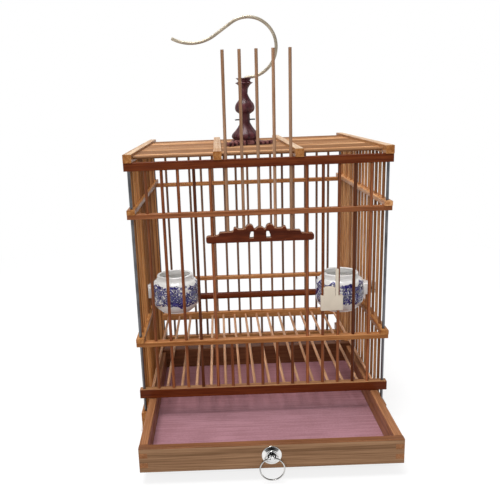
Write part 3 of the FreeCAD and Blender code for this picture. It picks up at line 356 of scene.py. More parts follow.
class EffectGroups:
    """Surface effects that several finishes share, each built once as a node group."""

    @staticmethod
    def begin(
        name: str, numbers: dict[str, float], outputs: Sequence[str]
    ) -> tuple[Wiring, Any, Node]:
        """Start a node group that takes a place and numbers, and gives values.

        Args:
            name: The group's name.
            numbers: Its inputs other than Vector, with their defaults.
            outputs: Its outputs' names.

        Returns:
            The group's wiring, its inputs by name, and its output node.
        """
        tree = bpy.data.node_groups.new(name, "ShaderNodeTree")
        number = "NodeSocketFloat"
        tree.interface.new_socket("Vector", in_out="INPUT", socket_type="NodeSocketVector")
        for label, value in numbers.items():
            socket = tree.interface.new_socket(label, in_out="INPUT", socket_type=number)
            socket.default_value = value
        for label in outputs:
            tree.interface.new_socket(label, in_out="OUTPUT", socket_type=number)
        given, out = (tree.nodes.new(f"NodeGroup{end}") for end in ("Input", "Output"))
        return Wiring(tree), given.outputs, out

    @cached_property
    def grain(self) -> Tree:
        """Long fibres, slow streaks and pores of split bamboo or sawn wood.

        Returns:
            The group's tree.
        """
        wiring, given, out = self.begin("fibre_grain", {}, ("Tone", "Pores", "Height"))
        fibres = wiring.noise(given["Vector"], scale=1.0, detail=5.0)
        streaks = wiring.noise(given["Vector"], scale=0.13, detail=3.0)
        pores = wiring.noise(given["Vector"], scale=3.1, detail=2.0)
        pore = wiring.ramp(pores, low=0.62, high=0.72)
        tone = wiring.times(fibres, 0.55)
        tone = wiring.times(streaks, 0.45, tone)
        height = wiring.sum("SUBTRACT", fibres, wiring.times(pore, 0.5))
        spread = wiring.ramp(tone, low=0.36, high=0.66)
        wiring.fill(out, {"Tone": spread, "Pores": pore, "Height": height})
        return wiring.tree

    @cached_property
    def piece_tone(self) -> Tree:
        """A tone of its own for each bar of a row, drawn from its place in the row.

        Returns:
            The group's tree.
        """
        wiring, given, out = self.begin("piece_tone", {}, ("Tone",))
        snapped = wiring.vector("FLOOR", wiring.vector("ADD", given["Vector"], (0.25, 0.25, 0.25)))
        drawn = wiring.add("TexWhiteNoise", {"Vector": snapped}, noise_dimensions="3D")
        wiring.fill(out, {"Tone": drawn.outputs["Value"]})
        return wiring.tree

    @cached_property
    def handling(self) -> Tree:
        """Uneven gloss, broad smudges and small specks of a varnished or plated surface.

        Returns:
            The group's tree.
        """
        numbers = {"Roughness": 0.4, "Swing": 0.2}
        wiring, given, out = self.begin("handling", numbers, ("Roughness", "Smudge"))
        broad = wiring.noise(given["Vector"], scale=60.0, detail=4.0)
        small = wiring.noise(given["Vector"], scale=900.0, detail=2.0)
        speck = wiring.times(wiring.ramp(small, low=0.60, high=0.75), 0.3)
        smudge = wiring.ramp(broad, low=0.40, high=0.70)
        amount = wiring.times(smudge, 0.7, speck)
        swing = wiring.sum("SUBTRACT", amount, 0.35)
        rough = wiring.times(swing, given["Swing"], given["Roughness"])
        wiring.fill(out, {"Roughness": rough, "Smudge": amount})
        return wiring.tree

    @cached_property
    def blue_flowers(self) -> Tree:
        """A painted band of stems, leaves and round blossoms about an upright axis.

        Returns:
            The group's tree.
        """
        numbers = {"Radius": 0.027, "Low": 0.008, "High": 0.034}
        wiring, given, out = self.begin("blue_flowers", numbers, ("Mask", "Wash"))
        x, y, height = wiring.split(given["Vector"])
        around = wiring.times(wiring.sum("ARCTAN2", y, x), given["Radius"])
        flat = wiring.add("CombineXYZ", {0: around, 1: height}).outputs[0]
        blossom = self.petals(wiring, flat, scale=58.0, count=6.0, reach=0.50, wave=0.12)
        moved = wiring.vector("ADD", flat, (0.37, 0.11, 0.0))
        leaf = self.petals(wiring, moved, scale=150.0, count=3.0, reach=0.40, wave=0.22)
        bent = wiring.add("TexNoise", {"Vector": flat, "Scale": 120.0, "Detail": 1.0})
        bend = wiring.vector("SUBTRACT", bent.outputs["Color"], (0.5, 0.5, 0.5))
        bend = wiring.vector("MULTIPLY", bend, (0.014, 0.014, 0.014))
        path = wiring.vector("ADD", flat, bend)
        inputs = {"Vector": path, "Scale": 150.0, "Distortion": 0.0}
        strokes = wiring.add("TexWave", inputs, bands_direction="DIAGONAL")
        stroke = wiring.ramp(strokes.outputs["Fac"], low=0.34, high=0.50)
        patch = wiring.ramp(wiring.noise(flat, scale=42.0, detail=0.0), low=0.44, high=0.50)
        stem = wiring.times(stroke, patch)
        drawn = wiring.sum("MAXIMUM", wiring.sum("MAXIMUM", blossom, leaf), stem)
        edge = wiring.sum("SUBTRACT", wiring.noise(flat, scale=85.0, detail=1.0), 0.5)
        swing = wiring.times(edge, 0.016)
        above = wiring.sum("GREATER_THAN", height, wiring.sum("ADD", given["Low"], swing))
        below = wiring.sum("LESS_THAN", height, wiring.sum("SUBTRACT", given["High"], swing))
        mask = wiring.times(drawn, wiring.times(above, below))
        wash = wiring.noise(flat, scale=260.0, detail=3.0)
        wiring.fill(out, {"Mask": mask, "Wash": wash})
        return wiring.tree

    @staticmethod
    def petals(
        wiring: Wiring, flat: Socket, scale: float, count: float, reach: float, wave: float
    ) -> Socket:
        """Draw a petalled blot in each cell of a scattered pattern.

        Args:
            wiring: The group's wiring.
            flat: The unrolled place.
            scale: Cells per metre.
            count: Petals of each blot.
            reach: The blot's mean radius in cells.
            wave: How deep the petals are cut, in cells.

        Returns:
            The blots' mask.
        """
        scaled = wiring.vector("MULTIPLY", flat, (scale, scale, scale))
        inputs = {"Vector": scaled, "Scale": 1.0, "Randomness": 0.75}
        cells = wiring.add("TexVoronoi", inputs, voronoi_dimensions="2D").outputs
        x, y, _ = wiring.split(wiring.vector("SUBTRACT", scaled, cells["Position"]))
        turn = wiring.times(wiring.sum("ARCTAN2", y, x), count)
        turn = wiring.times(wiring.split(cells["Color"])[0], 6.28, turn)
        edge = wiring.times(wiring.sum("COSINE", turn), wave, reach)
        gap = wiring.sum("SUBTRACT", edge, cells["Distance"])
        rings = wiring.sum("SINE", wiring.times(gap, 26.0))
        heart = wiring.ramp(rings, low=-0.92, high=-0.70)
        return wiring.times(wiring.ramp(gap, low=0.0, high=0.05), heart)


EFFECTS = EffectGroups()


class Surface(Wiring):
    """A material in the making."""

    def __init__(self, name: str) -> None:
        """Start the material, with its shader and the piece's own coordinates.

        Args:
            name: The material's name.
        """
        self.material = bpy.data.materials.new(name)
        self.material.use_nodes = True
        super().__init__(self.material.node_tree)
        self.shader = self.tree.nodes["Principled BSDF"]
        self.place = self.add("TexCoord").outputs["Object"]

    def feed(self, inputs: dict[str, Any]) -> None:
        """Set the shader's inputs to values or sockets."""
        self.fill(self.shader, inputs)

    def gloss(self, roughness: float, swing: float) -> Socket:
        """Make the surface unevenly glossy.

        Args:
            roughness: Its middle roughness.
            swing: How far the roughness varies.

        Returns:
            The smudges' mask.
        """
        wear_and_highlight = self.effect(EFFECTS.handling, Vector=self.place, Roughness=roughness, Swing=swing)
        self.feed({"Roughness": wear_and_highlight["Roughness"]})
        return wear_and_highlight["Smudge"]

    def emboss(self, height: Socket, strength: float, depth: float) -> None:
        """Raise the surface by a height, whose full depth is in millimetres."""
        inputs = {"Height": height, "Strength": strength, "Distance": depth * MM}
        self.feed({"Normal": self.add("Bump", inputs).outputs[0]})


@dataclass(frozen=True)
class WoodFinish:
    """Varnished bamboo or wood of a light and a dark tone, with its grain along one axis."""

    name: str
    tones: Tones
    axis: GrainAxis
    fibre: Point = (0.45, 22.0)
    roughness: float = 0.42
    coat: float = 0.02
    specular: float = 0.12
    depth: float = 0.05
    pore_shade: float = 0.35
    row_pitch: float = 0.0
    row_swing: float = 0.60
    row_shade: float = 0.45
    strip_level: float = 0.0
    strip_soft: float = 0.4
    strip_tint: Colour = (0.66, 0.48, 0.38)

    def make(self) -> Material:
        """Build the material.

        Returns:
            The material.
        """
        surface = Surface(self.name)
        place = surface.place
        light, dark = self.tones
        width, length = self.fibre
        shares = self.spaced(1.0 / (width * MM), 1.0 / (length * MM))
        fibres = surface.vector("MULTIPLY", place, shares)
        grain = surface.effect(EFFECTS.grain, Vector=fibres)
        colour = surface.mix(grain["Tone"], dark, light)
        pores = surface.times(grain["Pores"], self.pore_shade)
        colour = surface.mix(pores, colour, shaded(dark, self.pore_shade))
        if self.row_pitch:
            shares = self.spaced(1.0 / (self.row_pitch * MM), 0.0)
            rows = surface.vector("MULTIPLY", place, shares)
            tone = surface.effect(EFFECTS.piece_tone, Vector=rows)["Tone"]
            amount = surface.times(surface.ramp(tone, low=0.25, high=0.75), self.row_swing)
            colour = surface.mix(amount, colour, shaded(dark, self.row_shade))
        # The band above the strip level is multiplied by the strip tint: on the rails this is
        # painted light on their tops, and on the drawer front it makes the top band darker and
        # redder.
        if self.strip_level:
            start = (self.strip_level - self.strip_soft) * MM
            strip = surface.ramp(surface.split(place)[2], start, self.strip_level * MM)
            colour = surface.mix(strip, colour, self.strip_tint, "MULTIPLY")
        surface.gloss(self.roughness, swing=0.22)
        surface.emboss(grain["Height"], strength=0.35, depth=self.depth)
        surface.feed({"Base Color": colour, "Specular IOR Level": self.specular})
        surface.feed({"Coat Weight": self.coat, "Coat Roughness": 0.18})
        return surface.material

    def spaced(self, across: float, along: float) -> list[float]:
        """Give one share for the axes across the grain and another along it."""
        return [along if at == self.axis.value else across for at in range(3)]


@dataclass(frozen=True)
class MetalFinish:
    """Plated, drawn or cast metal of a bright and a dull tone, with uneven gloss."""

    name: str
    tones: Tones
    roughness: float
    swing: float = 0.15
    metallic: float = 1.0

    def make(self) -> Material:
        """Build the material.

        Returns:
            The material.
        """
        surface = Surface(self.name)
        smudge = surface.gloss(self.roughness, self.swing)
        colour = surface.mix(smudge, *self.tones)
        surface.feed({"Base Color": colour, "Metallic": self.metallic})
        fine = surface.noise(surface.place, scale=700.0, detail=3.0)
        surface.emboss(fine, strength=0.15, depth=0.02)
        return surface.material


@dataclass(frozen=True)
class PorcelainFinish:
    """White glaze with a painted blue band about the cup's own axis."""

    name: str
    centre: Place
    turn: float
    painted: bool
    radius: float = 26.0
    band_low: float = 10.2
    band_high: float = 34.2
    glaze: Colour = (0.90, 0.89, 0.87)
    pale_blue: Colour = (0.038, 0.032, 0.230)
    deep_blue: Colour = (0.010, 0.007, 0.085)

    def make(self) -> Material:
        """Build the material.

        Returns:
            The material.
        """
        surface = Surface(self.name)
        cloud = surface.noise(surface.place, scale=90.0, detail=2.0)
        colour = surface.mix(cloud, self.glaze, shaded(self.glaze, share=0.92))
        if self.painted:
            colour = self.paint(surface, colour)
        surface.gloss(roughness=0.16, swing=0.10)
        surface.emboss(cloud, strength=0.1, depth=0.1)
        surface.feed({"Base Color": colour, "Coat Weight": 0.4, "Coat Roughness": 0.08})
        return surface.material

    def paint(self, surface: Surface, glaze: Socket) -> Socket:
        """Paint the blue band over the glaze.

        Args:
            surface: The material in the making.
            glaze: The glaze's colour.

        Returns:
            The painted colour.
        """
        centred = surface.vector("SUBTRACT", surface.place, Vector(self.centre) * MM)
        inputs = {"Vector": centred, "Rotation": (0.0, 0.0, self.turn)}
        band = surface.effect(
            EFFECTS.blue_flowers,
            Vector=surface.add("Mapping", inputs).outputs[0],
            Radius=self.radius * MM,
            Low=self.band_low * MM,
            High=self.band_high * MM,
        )
        wash = surface.ramp(band["Wash"], low=0.35, high=0.65)
        return surface.mix(band["Mask"], glaze, surface.mix(wash, self.deep_blue, self.pale_blue))


@dataclass(frozen=True)
class MouldedFinish:
    """Moulded plastic with a faint eggshell texture."""

    name: str
    colour: Colour
    roughness: float = 0.42

    def make(self) -> Material:
        """Build the material.

        Returns:
            The material.
        """
        surface = Surface(self.name)
        cloud = surface.noise(surface.place, scale=120.0, detail=3.0)
        colour = surface.mix(cloud, self.colour, shaded(self.colour, share=0.86))
        surface.feed({"Base Color": colour})
        surface.gloss(self.roughness, swing=0.2)
        shell = surface.noise(surface.place, scale=2600.0, detail=1.0)
        surface.emboss(shell, strength=0.2, depth=0.03)
        return surface.material


@dataclass(frozen=True)
class LinerFinish:
    """Mauve sheet with a felted surface, with painted shade, darker and redder, where the cage
    keeps the light off.
    """

    name: str
    tones: Tones
    lanes: Place = (14.0, 520.0, 1.0)
    cage_shade_from: float = -150.0
    cage_shade_to: float = -80.0
    cage_shade_tint: Colour = (0.90, 0.78, 0.76)

    def make(self) -> Material:
        """Build the material.

        Returns:
            The material.
        """
        surface = Surface(self.name)
        place = surface.place
        light, dark = self.tones
        felt = surface.noise(place, scale=850.0, detail=4.0)
        cloud = surface.noise(place, scale=28.0, detail=4.0)
        lanes = surface.vector("MULTIPLY", place, self.lanes)
        streak = surface.noise(lanes, scale=1.0, detail=3.0)
        tone = surface.times(felt, 0.30, surface.times(cloud, 0.25))
        tone = surface.times(streak, 0.45, tone)
        colour = surface.mix(surface.ramp(tone, low=0.40, high=0.60), dark, light)
        # Painted shade: towards the back, under the cage, the liner is multiplied darker and
        # redder.
        inner = surface.ramp(surface.split(place)[1], self.cage_shade_from * MM, self.cage_shade_to * MM)
        colour = surface.mix(inner, colour, self.cage_shade_tint, "MULTIPLY")
        surface.emboss(felt, strength=0.4, depth=0.15)
        rough = surface.times(felt, 0.15, base=0.75)
        surface.feed({"Base Color": colour, "Roughness": rough, "Sheen Weight": 0.15})
        return surface.material


Finish = WoodFinish | MetalFinish | LinerFinish


def dress(finish: Finish, *nodes: str) -> Material:
    """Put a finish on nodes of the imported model.

    Args:
        finish: The finish for all of each.
        nodes: The nodes' names.

    Returns:
        The finish's material.
    """
    material = finish.make()
    for node in nodes:
        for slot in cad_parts[node].material_slots:
            slot.material = material
        LOG.info("dressed %s in %s", node, material.name)
    return material


@dataclass
class CageFrame:
    """Rails, bars, rods and perch."""

    rail: Tones = ((0.60, 0.285, 0.098), (0.280, 0.086, 0.018))
    # Lighter copy of the rail tones for the back rails: painted light on rails that lie in shade.
    behind: Tones = ((0.80, 0.380, 0.150), (0.420, 0.150, 0.044))
    # Darker copies of the rail tones for the upper and lower hoop front rails: painted shade on
    # their front faces.
    upper: Tones = ((0.40, 0.150, 0.062), (0.190, 0.056, 0.018))
    lower: Tones = ((0.47, 0.205, 0.070), (0.230, 0.072, 0.017))
    floor: Tones = ((0.155, 0.034, 0.009), (0.072, 0.011, 0.003))
    roof: Tones = ((0.77, 0.450, 0.235), (0.390, 0.168, 0.064))
    # Tones of the wall bars' bamboo, made lighter on the left and right walls: painted light for
    # how the light falls on each wall.
    left: Tones = ((0.86, 0.430, 0.165), (0.430, 0.160, 0.044))
    right: Tones = ((0.95, 0.520, 0.235), (0.420, 0.145, 0.045))
    rods: Tones = ((0.90, 0.530, 0.310), (0.480, 0.220, 0.100))
    back: Tones = ((0.62, 0.360, 0.230), (0.250, 0.130, 0.080))
    door: Tones = ((0.76, 0.470, 0.300), (0.380, 0.190, 0.100))
    front: Tones = ((0.52, 0.190, 0.075), (0.140, 0.032, 0.011))
    red: Tones = ((0.200, 0.046, 0.011), (0.090, 0.014, 0.003))
    steel: Tones = ((0.17, 0.17, 0.18), (0.09, 0.09, 0.095))
    # Tints that paint light from above on these rails' tops, from the levels below upwards.
    top_light_tint: Colour = (1.40, 2.20, 4.20)
    upper_light_tint: Colour = (1.6, 1.9, 2.1)
    lower_light_tint: Colour = (1.45, 1.6, 1.9)
    floor_light_tint: Colour = (3.4, 8.0, 13.0)
    upper_level: float = 236.8
    lower_level: float = 101.0
    floor_level: float = 47.2
    row_pitch: float = 8.0

    def dress_all(self) -> None:
        """Dress every piece of the frame."""
        along_x = WoodFinish("rail_bamboo_x", self.rail, ALONG_X)
        along_y = WoodFinish("rail_bamboo_y", self.rail, ALONG_Y)
        behind = WoodFinish("rail_bamboo_behind", self.behind, ALONG_X)
        red = WoodFinish("red_bamboo_x", self.red, ALONG_X, coat=0.04)
        hoops = ("upper_hoop", "lower_hoop", "base")
        dress(along_x, "base_front_rail", "base_middle_rail")
        left = (f"{hoop}_left_rail" for hoop in hoops)
        dress(along_y, *left, "lower_hoop_right_rail", "base_right_rail")
        # Painted light: the upper hoop's right rail takes the right wall's lighter tones, so that
        # it looks lit.
        dress(WoodFinish("lit_rail_bamboo", self.right, ALONG_Y), "upper_hoop_right_rail")
        dress(behind, *(f"{hoop}_back_rail" for hoop in ("top", *hoops, "floor")))
        dress(red, "top_front_rail", "perch")
        self.dress_lit_tops()
        self.dress_bars()

    def dress_lit_tops(self) -> None:
        """Dress the rails whose tops are painted paler than their faces, as light from above."""
        rails = [
            ("upper_hoop_front_rail", self.upper, ALONG_X, self.upper_level, self.upper_light_tint),
            ("lower_hoop_front_rail", self.lower, ALONG_X, self.lower_level, self.lower_light_tint),
            ("floor_front_rail", self.floor, ALONG_X, self.floor_level, self.floor_light_tint),
        ]
        for kind in ("top_{}_rail", "roof_{}_cross_bar"):
            for node in (kind.format("left"), kind.format("right")):
                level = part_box(node)[1][2] / MM
                rails.append((node, self.rail, ALONG_Y, level, self.top_light_tint))
        # Painted light: each rail's band above its level is multiplied by its tint, so that its
        # top looks lit.
        for node, tones, axis, level, tint in rails:
            name = f"{node}_bamboo"
            dress(WoodFinish(name, tones, axis, strip_level=level, strip_tint=tint), node)

    def dress_bars(self) -> None:
        """Dress the round bars, each with a tone of its own, and the steel."""
        for name, axis, tones, swing, *nodes in (
            ("left_bamboo", ALONG_Z, self.left, 0.90, "left_bars"),
            ("right_bamboo", ALONG_Z, self.right, 0.85, "right_bars"),
            ("door_bamboo", ALONG_Z, self.door, 0.60, "door_bars"),
            ("front_bamboo", ALONG_Z, self.front, 0.85, "front_bars", "front_sill_bars"),
            ("back_bamboo", ALONG_Z, self.back, 0.55, "back_bars"),
            ("roof_bamboo", ALONG_X, self.roof, 0.80, "roof_bars"),
            ("floor_bamboo", ALONG_Y, self.rods, 0.30, "floor_rods"),
        ):
            finish = WoodFinish(name, tones, axis, row_pitch=self.row_pitch, row_swing=swing)
            dress(finish, *nodes)
        steel = MetalFinish("drawn_steel", self.steel, roughness=0.40)
        pins = ("hook_pin", "left_cup_pin", "right_cup_pin")
        dress(steel, "corner_tie_rods", "finial_washer", "finial_screw", *pins)


@dataclass
class DrawerUnit:
    """Drawer boards, liner and pull."""

    board: Tones = ((0.45, 0.255, 0.140), (0.170, 0.084, 0.040))
    side: Tones = ((0.44, 0.200, 0.090), (0.23, 0.090, 0.036))
    # Dark tones for the drawer's back and bottom: painted shade inside the drawer under the cage.
    back: Tones = ((0.19, 0.075, 0.035), (0.085, 0.028, 0.012))
    liner: Tones = ((0.43, 0.208, 0.250), (0.31, 0.138, 0.165))
    plate: Tones = ((0.80, 0.79, 0.77), (0.60, 0.60, 0.60))
    ring: Tones = ((0.56, 0.55, 0.53), (0.36, 0.36, 0.36))
    recess_dark: Tones = ((0.05, 0.05, 0.05), (0.02, 0.02, 0.02))
    board_top: float = 36.4
    board_fibre: Point = (0.5, 60.0)
    inner_fibre: Point = (0.7, 45.0)
    pull_centre: Place = (0.0, -236.6, 25.9)
    recess_radius: float = 3.9
    rosette_steps: int = 72
    rosette_arc: int = 6
    rosette_smooth: float = 30.0
    rosette: tuple[Turn, ...] = (
        (0.0, 0.0, 0.0), (9.25, 0.0, 0.0), (9.25, 0.35, 0.40), (8.75, 0.60, 0.0),
        (8.45, 0.745, 0.0), (6.15, 1.855, 0.0), (5.85, 2.00, 0.0), (5.35, 2.10, 0.35),
        (4.5, 2.55, 0.42), (3.8, 2.0, 0.0), (3.75, 0.9, 0.0), (0.0, 0.9, 0.0),
    )

    def dress_all(self) -> None:
        """Dress the boards, the liner and the pull."""
        front = WoodFinish(
            "drawer_front_wood", self.board, ALONG_X, self.board_fibre, roughness=0.5,
            strip_level=self.board_top,
        )
        side = WoodFinish("drawer_side_wood", self.side, ALONG_Y, self.inner_fibre)
        back = WoodFinish("drawer_back_wood", self.back, ALONG_X, self.inner_fibre)
        dress(front, "drawer_front")
        dress(back, "drawer_back", "drawer_bottom")
        dress(side, "drawer_left_side", "drawer_right_side")
        dress(LinerFinish("mauve_liner", self.liner), "drawer_liner")
        plate = MetalFinish("bright_plate", self.plate, roughness=0.14, swing=0.06)
        dress(MetalFinish("ring_plate", self.ring, roughness=0.20, swing=0.06), "pull_ring")
        self.turn_rosette(dress(plate, "pull_eye"))

    def turn_rosette(self, chrome: Material) -> None:
        """Turn the pull's rosette with a rolled rim, a dish, a collar and a darker recess.

        Args:
            chrome: Its plating.
        """
        points = curve(self.rosette, self.rosette_arc)
        piece = Bench.lathe(
            "turned_rosette", points, self.pull_centre, TO_VIEWER, self.rosette_steps
        )
        recess = MetalFinish("dark_recess", self.recess_dark, roughness=0.45)
        piece.data.materials.append(chrome)
        piece.data.materials.append(recess.make())
        centre = Vector(self.pull_centre) * MM
        # Faces within the recess radius take the near-black finish, so the recess is darker.
        for face in piece.data.polygons:
            inside = (face.center - centre).xz.length < self.recess_radius * MM
            face.material_index = int(inside)
        Bench.hand_over(piece, "pull_rosette", "drawer", "bright_metal", self.rosette_smooth)


@dataclass
class DoorLeaf:
    """The carved crosspiece of the rising door."""

    wood: Tones = ((0.155, 0.032, 0.010), (0.062, 0.011, 0.004))
    # Paler tones painted on the upward faces, as a highlight from the light above.
    wear_and_highlight: Tones = ((0.50, 0.260, 0.150), (0.260, 0.100, 0.050))
    highlight_slope: float = 0.20
    carving_step: float = 0.35
    easing: int = 8

    def dress_all(self) -> None:
        """Ease the crosspiece's carved edges and dress it, with its upward faces painted paler as
        a highlight.
        """
        wood = WoodFinish(
            "carved_red_wood", self.wood, ALONG_X, (0.6, 16.0), roughness=0.40, specular=0.10
        )
        wear_and_highlight = WoodFinish("red_edge_highlight", self.wear_and_highlight, ALONG_X, (0.6, 8.0))
        piece = Bench.copy_of("door_crosspiece", "carved_crosspiece")
        piece.data.materials.append(wood.make())
        piece.data.materials.append(wear_and_highlight.make())
        Bench.remesh(piece, self.carving_step, self.easing)
        # Painted highlight: faces that look upward take the paler tones.
        for face in piece.data.polygons:
            face.material_index = int(face.normal.z > self.highlight_slope)
        Bench.hand_over(piece, "door_crosspiece", "door", "dark_bamboo")


@dataclass
class FeedCup:
    """A glazed cup, thrown on the lathe, with the lug that hangs it between two side bars."""

    side: str
    row: float
    sign: float
    axis_x: float = 95.0
    bottom: float = 107.1
    painted_from: float = 16.44
    steps: int = 112
    arc: int = 10
    lug_from: float = 24.9
    lug_shoulder: float = 31.2
    lug_end: float = 40.8
    lug_low: float = 17.5
    lug_high: float = 30.5
    lug_rounding: float = 1.1
    shoulder_half: float = 10.0
    neck_half: float = 5.3
    profile: tuple[Turn, ...] = (
        (0.0, 0.7, 0.0), (14.0, 0.7, 0.0), (14.4, 0.0, 0.0), (17.6, 0.0, 0.41),
        (18.3, 0.7, 0.0), (18.4, 1.2, 0.30), (27.4, 15.5, 0.0), (27.4, 29.5, 0.26),
        (22.0, 37.6, -0.14), (20.7, 42.6, 0.35), (19.3, 43.6, 0.0), (18.2, 43.6, 0.35),
        (17.5, 42.6, 0.0), (19.0, 37.6, -0.26), (24.4, 29.5, 0.0), (24.4, 18.3, -0.28),
        (14.0, 4.0, 0.0), (0.0, 4.0, 0.0),
    )

    @property
    def centre(self) -> Place:
        """The middle of the cup's underside."""
        return (self.sign * self.axis_x, self.row, self.bottom)

    def build(self) -> None:
        """Throw the body, add the lug and glaze both."""
        points = curve(self.profile, self.arc)
        body = Bench.lathe(f"thrown_{self.side}_cup", points, self.centre, UP, self.steps)
        turn = math.pi if self.sign > 0 else 0.0
        for kind, painted in (("plain", False), ("painted", True)):
            finish = PorcelainFinish(f"{self.side}_{kind}_glaze", self.centre, turn, painted)
            body.data.materials.append(finish.make())
        middle = Vector(self.centre) * MM
        for face in body.data.polygons:
            out = face.center - middle
            out.z = 0.0
            outside = face.normal.dot(out) > 0.0 and out.length > self.painted_from * MM
            face.material_index = int(outside)
        lug = self.shape_lug()
        lug.data.materials.append(body.data.materials[0])
        Bench.take(body)
        lug.select_set(True)
        bpy.ops.object.join()
        Bench.hand_over(body, f"{self.side}_cup", "cage", "porcelain")

    def shape_lug(self) -> Piece:
        """Draw the lug from a block: its wide shoulder, then the neck between the bars.

        Returns:
            The rounded lug.
        """
        bpy.ops.mesh.primitive_cube_add(size=MM, location=(0.0, 0.0, 0.0))
        lug = bpy.context.active_object
        lug.name = f"{self.side}_lug"
        bpy.ops.object.mode_set(mode="EDIT")
        bpy.ops.mesh.select_all(action="SELECT")
        depth = self.lug_shoulder - self.lug_from
        height = self.lug_high - self.lug_low
        bpy.ops.transform.resize(value=(depth, 2.0 * self.shoulder_half, height))
        out = self.sign * (self.lug_from + self.lug_shoulder) / 2.0
        middle = Vector(self.centre) + Vector((out, 0.0, (self.lug_low + self.lug_high) / 2.0))
        bpy.ops.transform.translate(value=middle * MM)
        bpy.ops.object.mode_set(mode="OBJECT")
        end = (self.centre[0] + self.sign * self.lug_shoulder) * MM
        Bench.pick(lug, lambda place: abs(place.x - end) < TOUCH_REACH * MM)
        bpy.ops.mesh.extrude_region_move(TRANSFORM_OT_translate={"value": (0.0, 0.0, 0.0)})
        bpy.ops.transform.resize(value=(1.0, self.neck_half / self.shoulder_half, 1.0))
        reach = self.sign * (self.lug_end - self.lug_shoulder) * MM
        bpy.ops.mesh.extrude_region_move(TRANSFORM_OT_translate={"value": (reach, 0.0, 0.0)})
        bpy.ops.mesh.select_all(action="SELECT")
        bpy.ops.mesh.normals_make_consistent(inside=False)
        bpy.ops.object.mode_set(mode="OBJECT")
        Bench.round_edges(lug, self.lug_rounding)
        return lug


@dataclass
class Fittings:
    """Cups and treat clip."""

    left_row: float = -40.0
    right_row: float = -56.0
    clip_rounding: float = 0.8
    cream: Colour = (0.82, 0.72, 0.58)

    def dress_all(self) -> None:
        """Make the cups and round the clip."""
        FeedCup("left", self.left_row, -1.0).build()
        FeedCup("right", self.right_row, 1.0).build()
        clip = Bench.copy_of("treat_clip", "moulded_clip")
        Bench.round_edges(clip, self.clip_rounding)
        clip.data.materials.append(MouldedFinish("cream_plastic", self.cream).make())
        Bench.hand_over(clip, "treat_clip", "cage", "cream_plastic")


